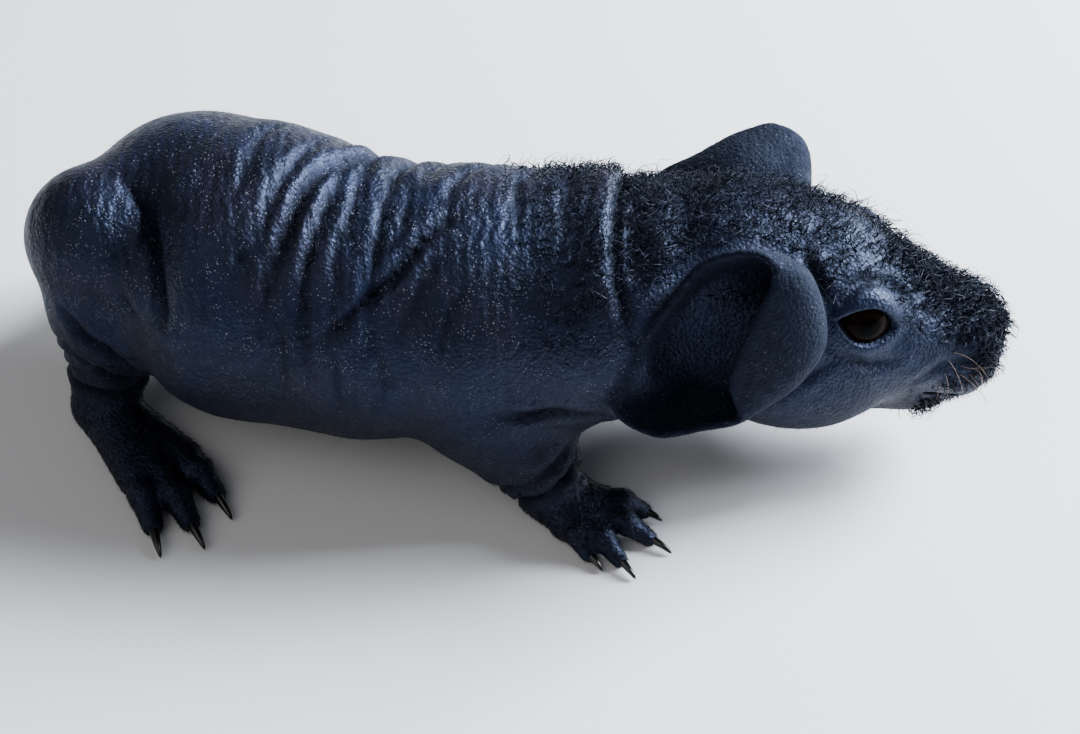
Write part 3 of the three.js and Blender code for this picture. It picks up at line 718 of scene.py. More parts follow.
# The front edge of the thigh, and then the other folds where the legs join, as points in mm
THIGH_EDGE = (
    (-55.5, 1.6, 40.6), (-52.7, -2.4, 39.6), (-51.5, -8.7, 36.3), (-50.3, -13.9, 31.2), (-50.3, -14.6, 29.5))
LEG_FOLDS = (
    (0.9, *THIGH_EDGE),
    (0.4, (-56.4, -8.9, 30.5), (-55.1, -10.4, 28.2), (-54.3, -11.4, 27.3)),
    (0.8, (-65.2, -7.3, 25.3), (-62.1, -9.3, 21.5), (-59.8, -9.7, 20.0), (-58.1, -9.2, 17.2),
     (-56.3, -8.1, 14.1)),
    (0.75, (-66.0, -7.0, 17.9), (-63.6, -8.3, 16.7), (-61.2, -8.2, 14.2), (-59.1, -7.5, 11.9),
     (-57.1, -6.2, 10.1)),
    (0.8, (-5.7, -23.5, 21.5), (-1.7, -23.1, 20.6), (1.7, -22.3, 20.7), (7.1, -20.2, 17.7),
     (8.9, -19.4, 16.6)),
    (0.7, (-47, 24, 33), (-44.5, 26.5, 28.5), (-44, 27.5, 23), (-45.5, 27.5, 18)),
    (0.5, (-58, 27, 21), (-55, 29.5, 17.5), (-51, 29.5, 14)),
    (0.6, (-4, 13.5, 21), (1, 14.5, 19.5), (6, 13, 17)),
)
# Broad valleys that set off the thigh and the neck: depth and width, then points in mm
VALLEYS = (
    (1.1, 3.4, *THIGH_EDGE),
    (0.9, 2.4, (12, 7.9, 35.9), (12, 1.2, 40.6), (12, -6.9, 41.4), (11.8, -13.3, 38.7), (11.0, -17.9, 33.7)),
)
# Folds of the face in the head's frame, the same on both sides: brow, before the ear, cheek and nose
FACE_FOLDS = (
    (0.45, (2.4, 11.5, 8.0), (3.2, 10.1, 9.5), (5.1, 8.7, 10.4), (8.8, 7.1, 9.8), (11.6, 6.7, 8.2),
     (13.1, 8.0, 6.5)),
    (0.7, (-3.5, 7.5, 12.7), (-2.7, 9.1, 11.5), (-1.6, 10.5, 9.8), (-0.4, 11.5, 8.1)),
    (0.3, (4.5, 13.3, 0.9), (8.8, 12.3, -0.6), (12.8, 10.9, 0.2)),
    (0.35, (16.5, 9.6, -3.2), (19.5, 8.9, -0.6), (23.1, 7.9, 0.6), (26.4, 6.2, 0.2)),
    (0.3, (-2.5, 15.3, -8.2), (-1.9, 15.3, -6.2), (0.0, 15.1, -3.3), (3.4, 14.0, -0.6)),
    (0.7, (25.4, 6.0, -3.6), (27.0, 4.2, -4.6), (28.2, 1.6, -5.0), (28.4, 0.3, -5.0)),
)
# Rings of creases above each ankle and wrist: share of the way down from knee or elbow, and depth
LEG_RINGS = ((0.28, 0.3), (0.46, 0.35), (0.64, 0.35), (0.82, 0.4), (1.02, 0.85))
RING_WIDTH, RING_REACH = 0.85, 12
FOLD_WIDTH = 1.0
FOLD_SCALE = 1.4
# Radius at which an angle round the body is turned into mm
ROUND_BODY = 18.0
# A fold is left out this many widths from its line, and folds fade below this height in mm
FOLD_REACH, FOLDS_FADE_BELOW = 4, 4

print("folds drawn:", len(BACK_FOLDS) + len(LEG_FOLDS) + len(VALLEYS) + 2 * len(FACE_FOLDS))

# %% [markdown]
# A fold is a sharp valley with a soft shoulder on each side, which fades towards both of its ends. The
# depths of all folds are added up at each vertex of the skin, which then sinks along its own normal. A
# bump in the material would be easier, but folds this deep show in the outline.


# %% Sinking the folds
def body_place(p):
    """Angle round the spine in degrees, place along it, and distance from it."""
    spine = np.array(SPINE)
    y, z = (np.interp(p[:, 0], spine[:, 0], spine[:, i]) for i in (1, 2))
    across, up = -(p[:, 1] - y), p[:, 2] - z
    return np.degrees(np.arctan2(across, up)), np.hypot(across, up)


def fold_shape(away, width):
    """A sharp valley with a soft shoulder on each side, 1 deep in the middle."""
    u = away / width
    return 1.25 * np.exp(-np.abs(u) ** 1.5 * 1.6) - 0.35 * np.exp(-((u - 1.6) ** 2))


def add_folds(sink, place, folds, allowed=True, width=FOLD_WIDTH):
    """Adds to the depth at each place what the folds give, each a depth and a path."""
    for depth, path in folds:
        near = within(place, path.min(0), path.max(0), FOLD_REACH * width) & allowed
        sink[near] += depth * tapered(place[near], path, width)


def fold_depth(p):
    """How far the skin sinks at each point, in mm."""
    sink = np.zeros(len(p))
    angle, out = body_place(p)
    plan = np.column_stack((np.radians(angle) * ROUND_BODY, p[:, 0]))
    on_body = (out > 10) & (p[:, 0] > -58) & (p[:, 0] < 18)
    backs = [(depth, np.array(line) * (math.radians(1) * ROUND_BODY, 1)) for depth, *line in BACK_FOLDS]
    add_folds(sink, plan, backs, on_body)
    add_folds(sink, p, [(depth, np.array(line)) for depth, *line in LEG_FOLDS])
    for stations in LEGS.values():
        knee, ankle = np.array(stations[2][:3]), np.array(stations[3][:3])
        along = (ankle - knee) / np.linalg.norm(ankle - knee)
        for share, depth in LEG_RINGS:
            rel = p - (knee + (ankle - knee) * share)
            near = np.linalg.norm(rel, axis=1) < RING_REACH
            rel = rel[near]
            wavy = np.abs(rel @ along + 0.5 * np.sin(rel[:, 1] * 0.9 + 9 * share))
            fading = 1 - ramp(np.linalg.norm(rel, axis=1), 9, RING_REACH)
            sink[near] += depth * fold_shape(wavy, RING_WIDTH) * fading
    faces = [(depth, np.array(line) * side) for depth, *line in FACE_FOLDS for side in SIDES.values()]
    add_folds(sink, in_head(p), faces)
    return sink


def valley_depth(p):
    sink = np.zeros(len(p))
    for depth, width, *line in VALLEYS:
        add_folds(sink, p, [(depth, np.array(line))], width=width)
    return sink


def tapered(p, path, width):
    """The fold's shape round a path, fading towards both of its ends."""
    lengths = np.linalg.norm(np.diff(path, axis=0), axis=1)
    run = np.concatenate(((0,), np.cumsum(lengths)))
    away, place = np.full(len(p), 1e3), np.zeros(len(p))
    for a, b, start, length in zip(path[:-1], path[1:], run[:-1], lengths):
        t = np.clip((p - a) @ (b - a) / length**2, 0, 1)
        d = np.linalg.norm(p - a - t[:, None] * (b - a), axis=1)
        closer = d < away
        away[closer], place[closer] = d[closer], start + t[closer] * length
    ends = np.minimum(place, run[-1] - place) / (0.3 * run[-1])
    fade = 0.25 + 0.75 * np.clip(ends, 0, 1)
    past_end = np.clip((away - 0.5) / 1.5, 0, 1) * (ends < 0.01)
    return FOLD_SCALE * fold_shape(away, width) * fade * (1 - past_end)


def outward(points, field):
    _, slope = slopes(points, field)
    return slope / np.maximum(np.linalg.norm(slope, axis=1, keepdims=True), 1e-6)


skin_out = outward(skin_points, skin_at)
skin_sink = fold_depth(skin_points) * np.clip(skin_points[:, 2] / FOLDS_FADE_BELOW, 0, 1)
skin_points = skin_points - skin_out * (skin_sink + valley_depth(skin_points))[:, None]
print("deepest fold", skin_sink.max().round(2), "mm")

# %% [markdown]
# One mesh holds the whole skin. It is told which body part each vertex belongs to, as soft weights from
# 0 to 1 that later steer the colours and the fuzz: feet, muzzle, crown of the head, ears, back and belly.


# %% Skin object
def nearness(p, plan_points, reach):
    flat = np.array(plan_points, float)
    gap = np.min([np.linalg.norm(p[:, :2] - q, axis=1) for q in flat], axis=0)
    return 1 - ramp(gap, reach * 0.75, reach)


def patchy(p, scale):
    """Soft uneven patches between 0 and 1."""
    u, v, w = (p * (2 * np.pi / scale)).T
    waves = np.sin(u + 1.3 * np.sin(v)) + np.sin(1.27 * v + 1.1 * np.sin(w))
    return 0.5 + (waves + np.sin(0.83 * w + 1.7 * np.sin(u))) / 6


def part_weights(p):
    q = in_head(p)
    side = np.abs(q[:, 1])
    on_front = ramp(p[:, 0], 10.5, 14)
    ear = np.zeros(len(p))
    for name, (_, low, high) in EARS.items():
        near = within(p, low, high, 0)
        ear[near] = np.maximum(ear[near], 1 - ramp(ear_distance(name, p[near]), 0.2, 1.2))
    feet = np.zeros(len(p))
    for foot in FEET.values():
        spots = [foot["heel"]] + [spot for toe in foot["toes"] for spot in toe[:2]]
        spots += [tuple((np.array(a) + b) / 2) for a, b, _ in foot["toes"]]
        spots += [tuple((np.array(foot["heel"]) + a) / 2) for a, _, _ in foot["toes"]]
        feet = np.maximum(feet, nearness(p, spots, 9))
    feet *= 1 - ramp(p[:, 2], 6.8, 9.2)
    muzzle = ramp(q[:, 0], 16.5, 22.5) * (1 - feet)
    crown = ramp(q[:, 2], 3.0, 8.0) * (1 - ramp(q[:, 0], 18, 25)) * (1 - ear)
    crown *= on_front * (1 - 0.6 * ramp(side, 7, 11) * ramp(q[:, 0], -4, 2))
    back = ramp(p[:, 2], 16, 34) * (1 - on_front)
    # Low on the body, where the skin is also painted darker and browner, as painted shade
    belly = (1 - ramp(p[:, 2], 9, 25)) * (1 - feet) * (1 - muzzle)
    return {"feet": feet, "muzzle": muzzle, "crown": crown, "ear": ear, "back": back, "belly": belly}


def mesh_object(name, points, faces, weights=None):
    """A mesh in metres in the packed model's frame, from points in mm."""
    mesh = bpy.data.meshes.new(name)
    mesh.from_pydata(((points + SHIFT) * MM).tolist(), [], [list(face) for face in faces])
    for key, values in (weights or {}).items():
        mesh.attributes.new(key, "FLOAT", "POINT").data.foreach_set("value", values.astype(np.float32))
    mesh.validate()
    mesh.shade_smooth()
    thing = bpy.data.objects.new(name, mesh)
    bpy.context.collection.objects.link(thing)
    return thing


skin_weights = part_weights(skin_points)
# The folds' depth also paints shade into their creases, and roughens them
skin_weights["fold"] = np.clip(skin_sink, 0, 1)
skin = mesh_object("skin", skin_points, skin_tris, skin_weights)
print("weights", {key: round(float(w.mean()), 3) for key, w in skin_weights.items()})

# %% [markdown]
# An eyeball is a ball with a slightly bulging clear front. Rings round the line of sight make it, and
# each vertex stores how far it is from the pupil, so that the iris can be coloured from the middle.

# %% Eyes
EYE_RINGS, EYE_AROUND = 40, 48
CORNEA_BULGE, CORNEA_ANGLE = 0.22, 0.75


def ringed_faces(first, rings, around):
    """Faces of a closed form that is a point, then rings of points, then a point."""
    last = first + 1 + rings * around
    faces = []
    for step in range(around):
        after = (step + 1) % around
        faces.append((first, first + 1 + after, first + 1 + step))
        faces.append((last, last - around + step, last - around + after))
        for ring in range(rings - 1):
            a = first + 1 + ring * around
            b = a + around
            faces.append((a + step, a + after, b + after, b + step))
    return faces


def eyeball(name):
    side = SIDES[name]
    centre, axes = on_head(side * EYE_CENTRE), eye_axes(side)
    points, spread = [(0, 0, EYE_RADIUS + CORNEA_BULGE)], [0.0]
    for ring in range(1, EYE_RINGS):
        angle = math.pi * ring / EYE_RINGS
        radius = EYE_RADIUS + CORNEA_BULGE * math.exp(-((angle / CORNEA_ANGLE) ** 4)) - EYE_GAP
        wide = radius * math.sin(angle)
        for step in range(EYE_AROUND):
            turn = 2 * math.pi * step / EYE_AROUND
            points.append((wide * math.cos(turn), wide * math.sin(turn), radius * math.cos(angle)))
            spread.append(angle)
    points.append((0, 0, -EYE_RADIUS + EYE_GAP))
    spread.append(math.pi)
    faces = ringed_faces(0, EYE_RINGS - 1, EYE_AROUND)
    placed = np.array(points) @ axes.T + centre
    thing = mesh_object("eyeball_" + name, placed, faces, {"spread": np.array(spread)})
    turned_out(thing)
    return thing


def turned_out(thing):
    """Points all faces outward, on a closed mesh."""
    work = bmesh.new()
    work.from_mesh(thing.data)
    bmesh.ops.recalc_face_normals(work, faces=work.faces)
    work.to_mesh(thing.data)
    work.free()


eyes = {name: eyeball(name) for name in SIDES}
for name, eye in eyes.items():
    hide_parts("eye_" + name)
    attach(eye, "root")
print("eyes of", 2 * EYE_RADIUS, "mm")

# %% [markdown]
# The claws of a cavy are blunt cones that curve down to the ground, glossy and black. Each is a row of
# rings along a bent path from inside the toe to the tip, because a cone would need bending afterwards.

# %% Claws
CLAW_RINGS, CLAW_AROUND = 14, 14
# Beside the claw's own radius: its girth, how flat its sides and its underside are
CLAW_GIRTH, CLAW_SIDE, CLAW_UNDERSIDE = 1.08, 0.95, 0.86


def claw_points(foot, toe):
    radius = foot["claw_radius"]
    end = resting(toe[1], foot["toe_radius"] * TOE_END)
    tip = np.array((*toe[2], radius * 0.6))
    ahead = (tip - end) * (1, 1, 0)
    start = end - 0.3 * ahead
    crest = end + 0.55 * ahead + (0, 0, radius * 0.7)
    points = [start]
    for ring in range(CLAW_RINGS):
        t = ring / CLAW_RINGS
        at = (1 - t) ** 2 * start + 2 * t * (1 - t) * crest + t * t * tip
        along = 2 * (1 - t) * (crest - start) + 2 * t * (tip - crest)
        along /= np.linalg.norm(along)
        across = np.cross((0, 0, 1), along)
        across /= np.linalg.norm(across)
        over = np.cross(along, across)
        r = radius * CLAW_GIRTH * math.sqrt(1 - t)
        for step in range(CLAW_AROUND):
            turn = 2 * math.pi * step / CLAW_AROUND
            flat = CLAW_UNDERSIDE if math.sin(turn) < 0 else 1.0
            points.append(at + across * CLAW_SIDE * r * math.cos(turn) + over * r * flat * math.sin(turn))
    points.append(tip)
    return points


def foot_claws(foot_name):
    foot = FEET[foot_name]
    points, faces = [], []
    for toe in foot["toes"]:
        faces += ringed_faces(len(points), CLAW_RINGS, CLAW_AROUND)
        points += claw_points(foot, toe)
    thing = mesh_object("claws_" + foot_name, np.array(points), faces)
    turned_out(thing)
    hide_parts(*[f"claw_{foot_name}_{i + 1}" for i in range(len(foot["toes"]))])
    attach(thing, "root")
    return thing


claws = [foot_claws(name) for name in FEET]
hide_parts("head", "neck", "torso", *LEGS, *FEET, "ear_right", "ear_left")
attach(skin, "root")
print("claws", sum(len(foot["toes"]) for foot in FEET.values()))

# %% [markdown]
# Materials are made of nodes. A short helper adds a node, sets its inputs and links what is given as
# another node's output, so that each finish below reads as a list of its layers.


# %% Node helper
class Finish:
    """A material with a helper that adds nodes to it."""

    def __init__(self, name):
        self.material = bpy.data.materials.new(name)
        self.material.use_nodes = True
        self.tree = self.material.node_tree
        self.shader = next(n for n in self.tree.nodes if n.type == "BSDF_PRINCIPLED")
        self.place = self.add("ShaderNodeTexCoord").outputs["Object"]

    def put(self, socket, value):
        if isinstance(value, bpy.types.NodeSocket):
            self.tree.links.new(value, socket)
        else:
            socket.default_value = value

    def add(self, kind, inputs=None, **settings):
        node = self.tree.nodes.new(kind)
        for key, value in settings.items():
            setattr(node, key, value)
        for key, value in (inputs or {}).items():
            self.put(node.inputs[key], value)
        return node

    def shade(self, **inputs):
        for key, value in inputs.items():
            self.put(self.shader.inputs[key.replace("_", " ")], value)

    def weight(self, name):
        return self.add("ShaderNodeAttribute", attribute_name=name).outputs["Fac"]

    def noise(self, scale, detail=4.0, rough=0.55, warp=0.0):
        return self.add("ShaderNodeTexNoise", {
            "Vector": self.place, "Scale": scale, "Detail": detail, "Roughness": rough, "Distortion": warp,
        }).outputs["Fac"]

    def cells(self, scale, feature="F1"):
        return self.add("ShaderNodeTexVoronoi", {
            "Vector": self.place, "Scale": scale, "Randomness": 1.0}, feature=feature).outputs["Distance"]

    def map(self, value, low, high, to_low=0.0, to_high=1.0):
        return self.add("ShaderNodeMapRange", {
            "Value": value, "From Min": low, "From Max": high, "To Min": to_low, "To Max": to_high,
        }).outputs["Result"]

    def math(self, operation, a, b=0.0):
        node = self.add("ShaderNodeMath", operation=operation)
        self.put(node.inputs[0], a)
        self.put(node.inputs[1], b)
        return node.outputs[0]

    def mix(self, factor, a, b):
        node = self.add("ShaderNodeMix", data_type="RGBA")
        self.put(node.inputs["Factor"], factor)
        self.put(node.inputs["A"], a)
        self.put(node.inputs["B"], b)
        return node.outputs["Result"]

    def bump(self, height, strength, distance, under=None):
        inputs = {"Height": height, "Strength": strength, "Distance": distance * MM}
        if under is not None:
            inputs["Normal"] = under
        return self.add("ShaderNodeBump", inputs).outputs["Normal"]


print("helper ready:", Finish.__doc__)

# %% [markdown]
# Black skin is never one black. It is blue-grey where it is stretched over the back and thighs, and part of
# that blue is a painted sheen of cool light. The belly is painted a darker brown, as painted shade under
# the body, the feet are a dark brown of their own, the ears are painted nearly black as painted shade in
# their hollows, and the folds are painted darker as painted shade in their creases. It is dusted with fine
# pale flakes. Light glances off a grain of tiny pebbles and creases, so most of the look is in the bump and
# the roughness. What it mirrors looks blue, so the gloss is tinted. A painted picture would do it too, but
# noise has no seams and no end.

# %% Skin finish
# Near-black blue-grey, whose blue is partly a painted sheen of cool light
SLATE_AND_BLUE_SHEEN = (0.0046, 0.0068, 0.0185, 1)
SOOT = (0.0018, 0.0024, 0.0054, 1)
PLUM = (0.0070, 0.0060, 0.0112, 1)
# Dark brown of the feet, and also the painted shade in the creases of the folds
UMBER_AND_CREASE_SHADE = (0.0018, 0.0015, 0.0015, 1)
# Painted shade of the belly, darker and browner
BELLY_SHADE = (0.0062, 0.0048, 0.0042, 1)
FLAKE = (0.30, 0.31, 0.34, 1)
# Painted shade of the ears' hollows, nearly black
EAR_HOLLOW_SHADE = (0.0008, 0.0012, 0.0028, 1)


def skin_finish():
    f = Finish("black_skin")
    patches = f.map(f.noise(140, 3), 0.38, 0.62)
    # A blue-grey tone with a painted blue sheen, varied at random with plum
    tone = f.mix(f.map(f.noise(55, 2), 0.45, 0.6), SLATE_AND_BLUE_SHEEN, PLUM)
    tone = f.mix(patches, SOOT, tone)
    # The belly is painted darker and browner, as painted shade under the body
    tone = f.mix(f.math("MULTIPLY", f.weight("belly"), 0.85), tone, BELLY_SHADE)
    # The ears are painted nearly black, as painted shade in their hollows
    tone = f.mix(f.math("MULTIPLY", f.weight("ear"), 0.8), tone, EAR_HOLLOW_SHADE)
    tone = f.mix(f.math("MULTIPLY", f.weight("feet"), 0.75), tone, UMBER_AND_CREASE_SHADE)
    # The folds are painted darker, as painted shade in their creases
    tone = f.mix(f.math("MULTIPLY", f.weight("fold"), 0.9), tone, UMBER_AND_CREASE_SHADE)
    # Flakes are the middles of small cells, kept where a coarser noise allows them
    spot = f.map(f.cells(2300), 0.24, 0.10)
    kept = f.map(f.noise(420, 4), 0.45, 0.57)
    on_top = f.math("ADD", 0.4, f.math("MULTIPLY", f.weight("back"), 0.6))
    flakes = f.math("MULTIPLY", f.math("MULTIPLY", spot, kept), on_top)
    scurf = f.math("MULTIPLY", f.map(f.cells(760), 0.11, 0.05), f.map(f.noise(190, 3), 0.52, 0.60))
    flakes = f.math("MAXIMUM", flakes, f.math("MULTIPLY", scurf, on_top))
    tone = f.mix(f.math("MULTIPLY", flakes, 0.62), tone, FLAKE)
    pebbles = f.add("ShaderNodeTexVoronoi", {
        "Vector": f.place, "Scale": 1900.0, "Smoothness": 0.5}, feature="SMOOTH_F1").outputs["Distance"]
    creases = f.cells(900, "DISTANCE_TO_EDGE")
    fine = f.noise(4200, 3)
    layers = f.bump(f.map(creases, 0.0, 0.10), 0.22, 0.07)
    layers = f.bump(pebbles, 0.75, 0.17, layers)
    layers = f.bump(fine, 0.6, 0.08, layers)
    # Fine wrinkles run round the body between the folds
    wrinkles = f.add("ShaderNodeTexWave", {
        "Vector": f.place, "Scale": 170.0, "Distortion": 5.0, "Detail": 3.0, "Detail Scale": 1.4,
    }).outputs["Fac"]
    layers = f.bump(f.math("MULTIPLY", wrinkles, f.math("ADD", 0.15, f.weight("back"))), 0.35, 0.22, layers)
    layers = f.bump(f.noise(300, 4), 0.45, 0.45, layers)
    rough = f.map(f.noise(600, 3), 0.3, 0.7, 0.41, 0.57)
    for part, extra in (("fold", 0.38), ("ear", 0.35), ("belly", 0.25)):
        rough = f.math("ADD", rough, f.math("MULTIPLY", f.weight(part), extra))
    f.shade(Base_Color=tone, Normal=layers, Roughness=rough,
            Specular_IOR_Level=0.33, Specular_Tint=(0.40, 0.54, 1.0, 1))
    return f.material


skin.data.materials.append(skin_finish())
print("skin finish ready")

# %% [markdown]
# The eye is wet, so it is the smoothest thing on the animal, but its gloss is held low, because a pale
# floor would turn it grey. Its iris is so dark a brown that the pupil hardly shows. The claws are
# polished horn with a faint mottle.

# %% Eye and claw finishes
def eye_finish():
    f = Finish("dark_eye")
    streaks = f.noise(900, 5, 0.6, 0.5)
    iris = f.mix(streaks, (0.0022, 0.0014, 0.0010, 1), (0.0060, 0.0034, 0.0022, 1))
    spread = f.weight("spread")
    # From the pupil to the iris, and from the iris to the white, which is dark too
    tone = f.mix(f.map(spread, 0.30, 0.36), (0.0008, 0.0008, 0.0009, 1), iris)
    tone = f.mix(f.map(spread, 0.95, 1.15), tone, (0.003, 0.0024, 0.0024, 1))
    f.shade(Base_Color=tone, Roughness=0.045, IOR=1.2, Specular_IOR_Level=0.08,
            Normal=f.bump(f.noise(500, 2), 0.04, 0.02))
    return f.material


def claw_finish():
    f = Finish("black_horn")
    mottle = f.noise(700, 4)
    f.shade(Base_Color=f.mix(mottle, (0.0012, 0.0012, 0.0014, 1), (0.0045, 0.0038, 0.0034, 1)),
            Roughness=f.map(f.noise(1500, 3), 0.3, 0.7, 0.14, 0.28), Specular_IOR_Level=0.4,
            Normal=f.bump(f.noise(2400, 3, 0.5, 1.2), 0.3, 0.05))
    return f.material


eye_material, claw_material = eye_finish(), claw_finish()
for eye in eyes.values():
    eye.data.materials.append(eye_material)
for row in claws:
    row.data.materials.append(claw_material)
print("eye and claw finishes ready")

# %% [markdown]
# A skinny pig isn't quite bare. Its feet and muzzle wear short curly hair, a fuzz covers the head and
# nape, and single fine hairs stand on the body. Each hair is a tiny curl of solid mesh. First the skin
# is mapped: where hair grows, where it is bare, and where it points. The hair of the head and body lies
# back from the nose, and that of the feet lies towards the toes.


# %% Where hair grows
def hair_lie(out, forward):
    """The direction along the skin, from a direction in space."""
    lie = forward - out * (out * forward).sum(1, keepdims=True)
    return lie / np.maximum(np.linalg.norm(lie, axis=1, keepdims=True), 1e-3)


# Places of the skin's vertices in the head's frame and in the body's
head_x, head_y, head_z = in_head(skin_points).T
skin_x, _, skin_z = skin_points.T
near_eye = np.ones(len(skin_points))
for side in SIDES.values():
    gap = np.linalg.norm(skin_points - on_head(side * (EYE_CENTRE + 2.2 * EYE_GAZE)), axis=1)
    near_eye *= ramp(gap, 3.6, 6.5)
in_mouth = 1 - ramp(np.abs(head_z + 6.0), 0.6, 1.4) * ramp(head_x, 19, 20)
in_mouth *= ramp(head_x, 19, 20)
on_head_part = ramp(skin_x, 10.5, 14) * (1 - skin_weights["ear"]) * (1 - skin_weights["feet"])
nape = ramp(skin_x, -8, 10) * (1 - ramp(skin_x, 12, 14))
nape *= ramp(skin_z, 27, 40)
nape *= 0.4 + 0.6 * patchy(skin_points, 6)
# Hair leaves room where the fold of an ear lies over the head
clear_of_ears = np.ones(len(skin_points))
for name, (_, low, high) in EARS.items():
    near = within(skin_points, low, high, 3)
    room = ramp(ear_distance(name, skin_points[near]), 1.4, 3.0)
    clear_of_ears[near] = np.minimum(clear_of_ears[near], room)
midline = 1 - ramp(np.abs(head_y), 3, 7)
# The forehead between the brows is nearly bare and shines
thinner_in_front = 1 - 0.7 * ramp(head_x, 0, 5) * (1 - ramp(head_x, 13, 17))
thinner_in_front = np.maximum(thinner_in_front, 0.8 * midline * patchy(skin_points, 4))
bridge = skin_weights["muzzle"] * ramp(head_z, 0.5, 4) * (0.35 + 0.65 * midline)
bridge = np.maximum(bridge, midline * ramp(head_x, 6, 16) * ramp(head_z, 3, 6))
lips = skin_weights["muzzle"] * (1 - ramp(head_z, -3.5, -1)) * ramp(head_x, 19, 23)
snout = ramp(head_x, 23.5, 26)
bare_nose = ramp(head_x, 25.6, 27.2) * (1 - ramp(np.abs(head_z + 1.9), 2.4, 3.4))
bare_nose *= 1 - ramp(np.abs(head_y), 4.2, 5.2)
# Hair is short round the mouth and under the nose
muzzle_length = 2.05 - 1.25 * (1 - ramp(head_z, -4.5, 0.5)) * ramp(head_x, 20, 24)

# Hair below this height in mm lies towards the toes
LEG_TOP = 16
toeward = np.zeros((len(skin_points), 3))
for foot in FEET.values():
    heel = np.array(foot["heel"])
    ahead = np.mean([np.array(toe[1]) - heel for toe in foot["toes"]], axis=0)
    near = np.linalg.norm(skin_points[:, :2] - heel, axis=1) < 26
    toeward[near & (skin_z < LEG_TOP)] = (*(ahead / np.linalg.norm(ahead)), -0.35)
backward = -HEAD_AXES[:, 0]

print("nearly bare: nose", int((bare_nose > 0.5).sum()), "and mouth", int((in_mouth > 0.5).sum()), "vertices")

# %% [markdown]
# The hair of the crown and muzzle is long and stands up, that of the feet is short and lies flat, and
# the rest is a fine fuzz. A few long stray hairs break the outline of the head.

# %% Kinds of hair
# How densely hair grows, its length beside the tree's curl, how far it stands off, and where it heads
HAIR = {
    "crown": (np.clip(skin_weights["crown"] + nape, 0, 1) * near_eye * clear_of_ears * thinner_in_front
              * (0.45 + 0.55 * patchy(skin_points, 5)), 1.8, 0.9, backward),
    "face": (on_head_part * near_eye * clear_of_ears * (0.3 + 0.7 * ramp(head_z, -2, 5))
             * (1 - snout) * thinner_in_front, 0.8, 0.55, backward),
    "muzzle": (np.clip(bridge + lips + snout, 0, 1) * (1 - bare_nose) * (1 - in_mouth) * near_eye,
               muzzle_length, 0.95, backward),
    "stray": (np.clip(skin_weights["crown"] + nape + bridge + lips + snout, 0, 1) * near_eye
              * clear_of_ears * (1 - bare_nose) * (1 - in_mouth) * ramp(head_z, -2, 1),
              2.5, 0.9, backward),
    "ears": (skin_weights["ear"], 0.6, 0.6, backward),
    "feet": (skin_weights["feet"] * ramp(skin_z, 0.25, 1.0), 0.85, 0.22, toeward),
    "body": (1 - ramp(skin_x, 10, 13), 0.75, 0.8, backward),
}
print("hair regions", list(HAIR))

# %% [markdown]
# The coat's colours go through a map in which each hair is a small patch at the place of its root, on an
# unwrap of the skin. Body and head are unrolled like a tube, the ears by their own rolled shape, and the
# feet are laid out from above and from below.

# %% Unwrap of the skin
def tube_unwrap(p, weights):
    angle, _ = body_place(p)
    uv = np.column_stack((0.03 + 0.94 * (angle + 180) / 360, 0.36 + 0.61 * (p[:, 0] + 72) / 142))
    place = in_head(p)
    for tile, side in enumerate(SIDES.values()):
        on_ear = (weights["ear"] > 0.5) & (place[:, 1] * side[1] > 0)
        q = place[on_ear] - side * EAR_BASE_CENTRE
        turn = np.degrees(np.arctan2(q[:, 2], q[:, 0])) + 180
        uv[on_ear] = np.column_stack((0.03 + 0.2 * tile + 0.16 * turn / 360, 0.03 + 0.012 * np.abs(q[:, 1])))
    for tile, foot in enumerate(FEET.values()):
        heel = np.array(foot["heel"])
        on_foot = (weights["feet"] > 0.3) & (np.linalg.norm(p[:, :2] - heel, axis=1) < 30)
        plan = (p[on_foot, :2] - heel + 15) / 45
        below = p[on_foot, 2] < 1.2
        across = 0.45 + 0.13 * tile + 0.11 * plan[:, 0]
        uv[on_foot] = np.column_stack((across, 0.03 + 0.15 * below + 0.13 * plan[:, 1]))
    return np.clip(uv, 0.01, 0.99)


skin_uv = tube_unwrap(skin_points, skin_weights)
print("unwrap from", skin_uv.min(0).round(2), "to", skin_uv.max(0).round(2))

# %% [markdown]
# Geometry Nodes grow the hair. Points are strewn over the skin by the density, three curls of different
# tightness are drawn as tapering spirals, and one of them is set on each point, turned to its lie with
# some disorder. All are made real mesh at the end and given their patch of the map. Hair curves and a
# particle system would do too, but their thin ribbons are no closed mesh.


# %% Tree that grows curly hair
HAIR_INPUTS = (
    ("Hairs per mm2", "NodeSocketFloat"), ("Thickness mm", "NodeSocketFloat"),
    ("Curl width", "NodeSocketFloat"), ("Curl turns", "NodeSocketFloat"), ("Disorder", "NodeSocketFloat"),
    ("Seed", "NodeSocketInt"), ("Finish", "NodeSocketMaterial"),
)
# Side of one hair's patch on the coat's map, and height in mm of the curl that each hair is scaled from
PATCH = 0.003
CURL_HEIGHT = 0.8


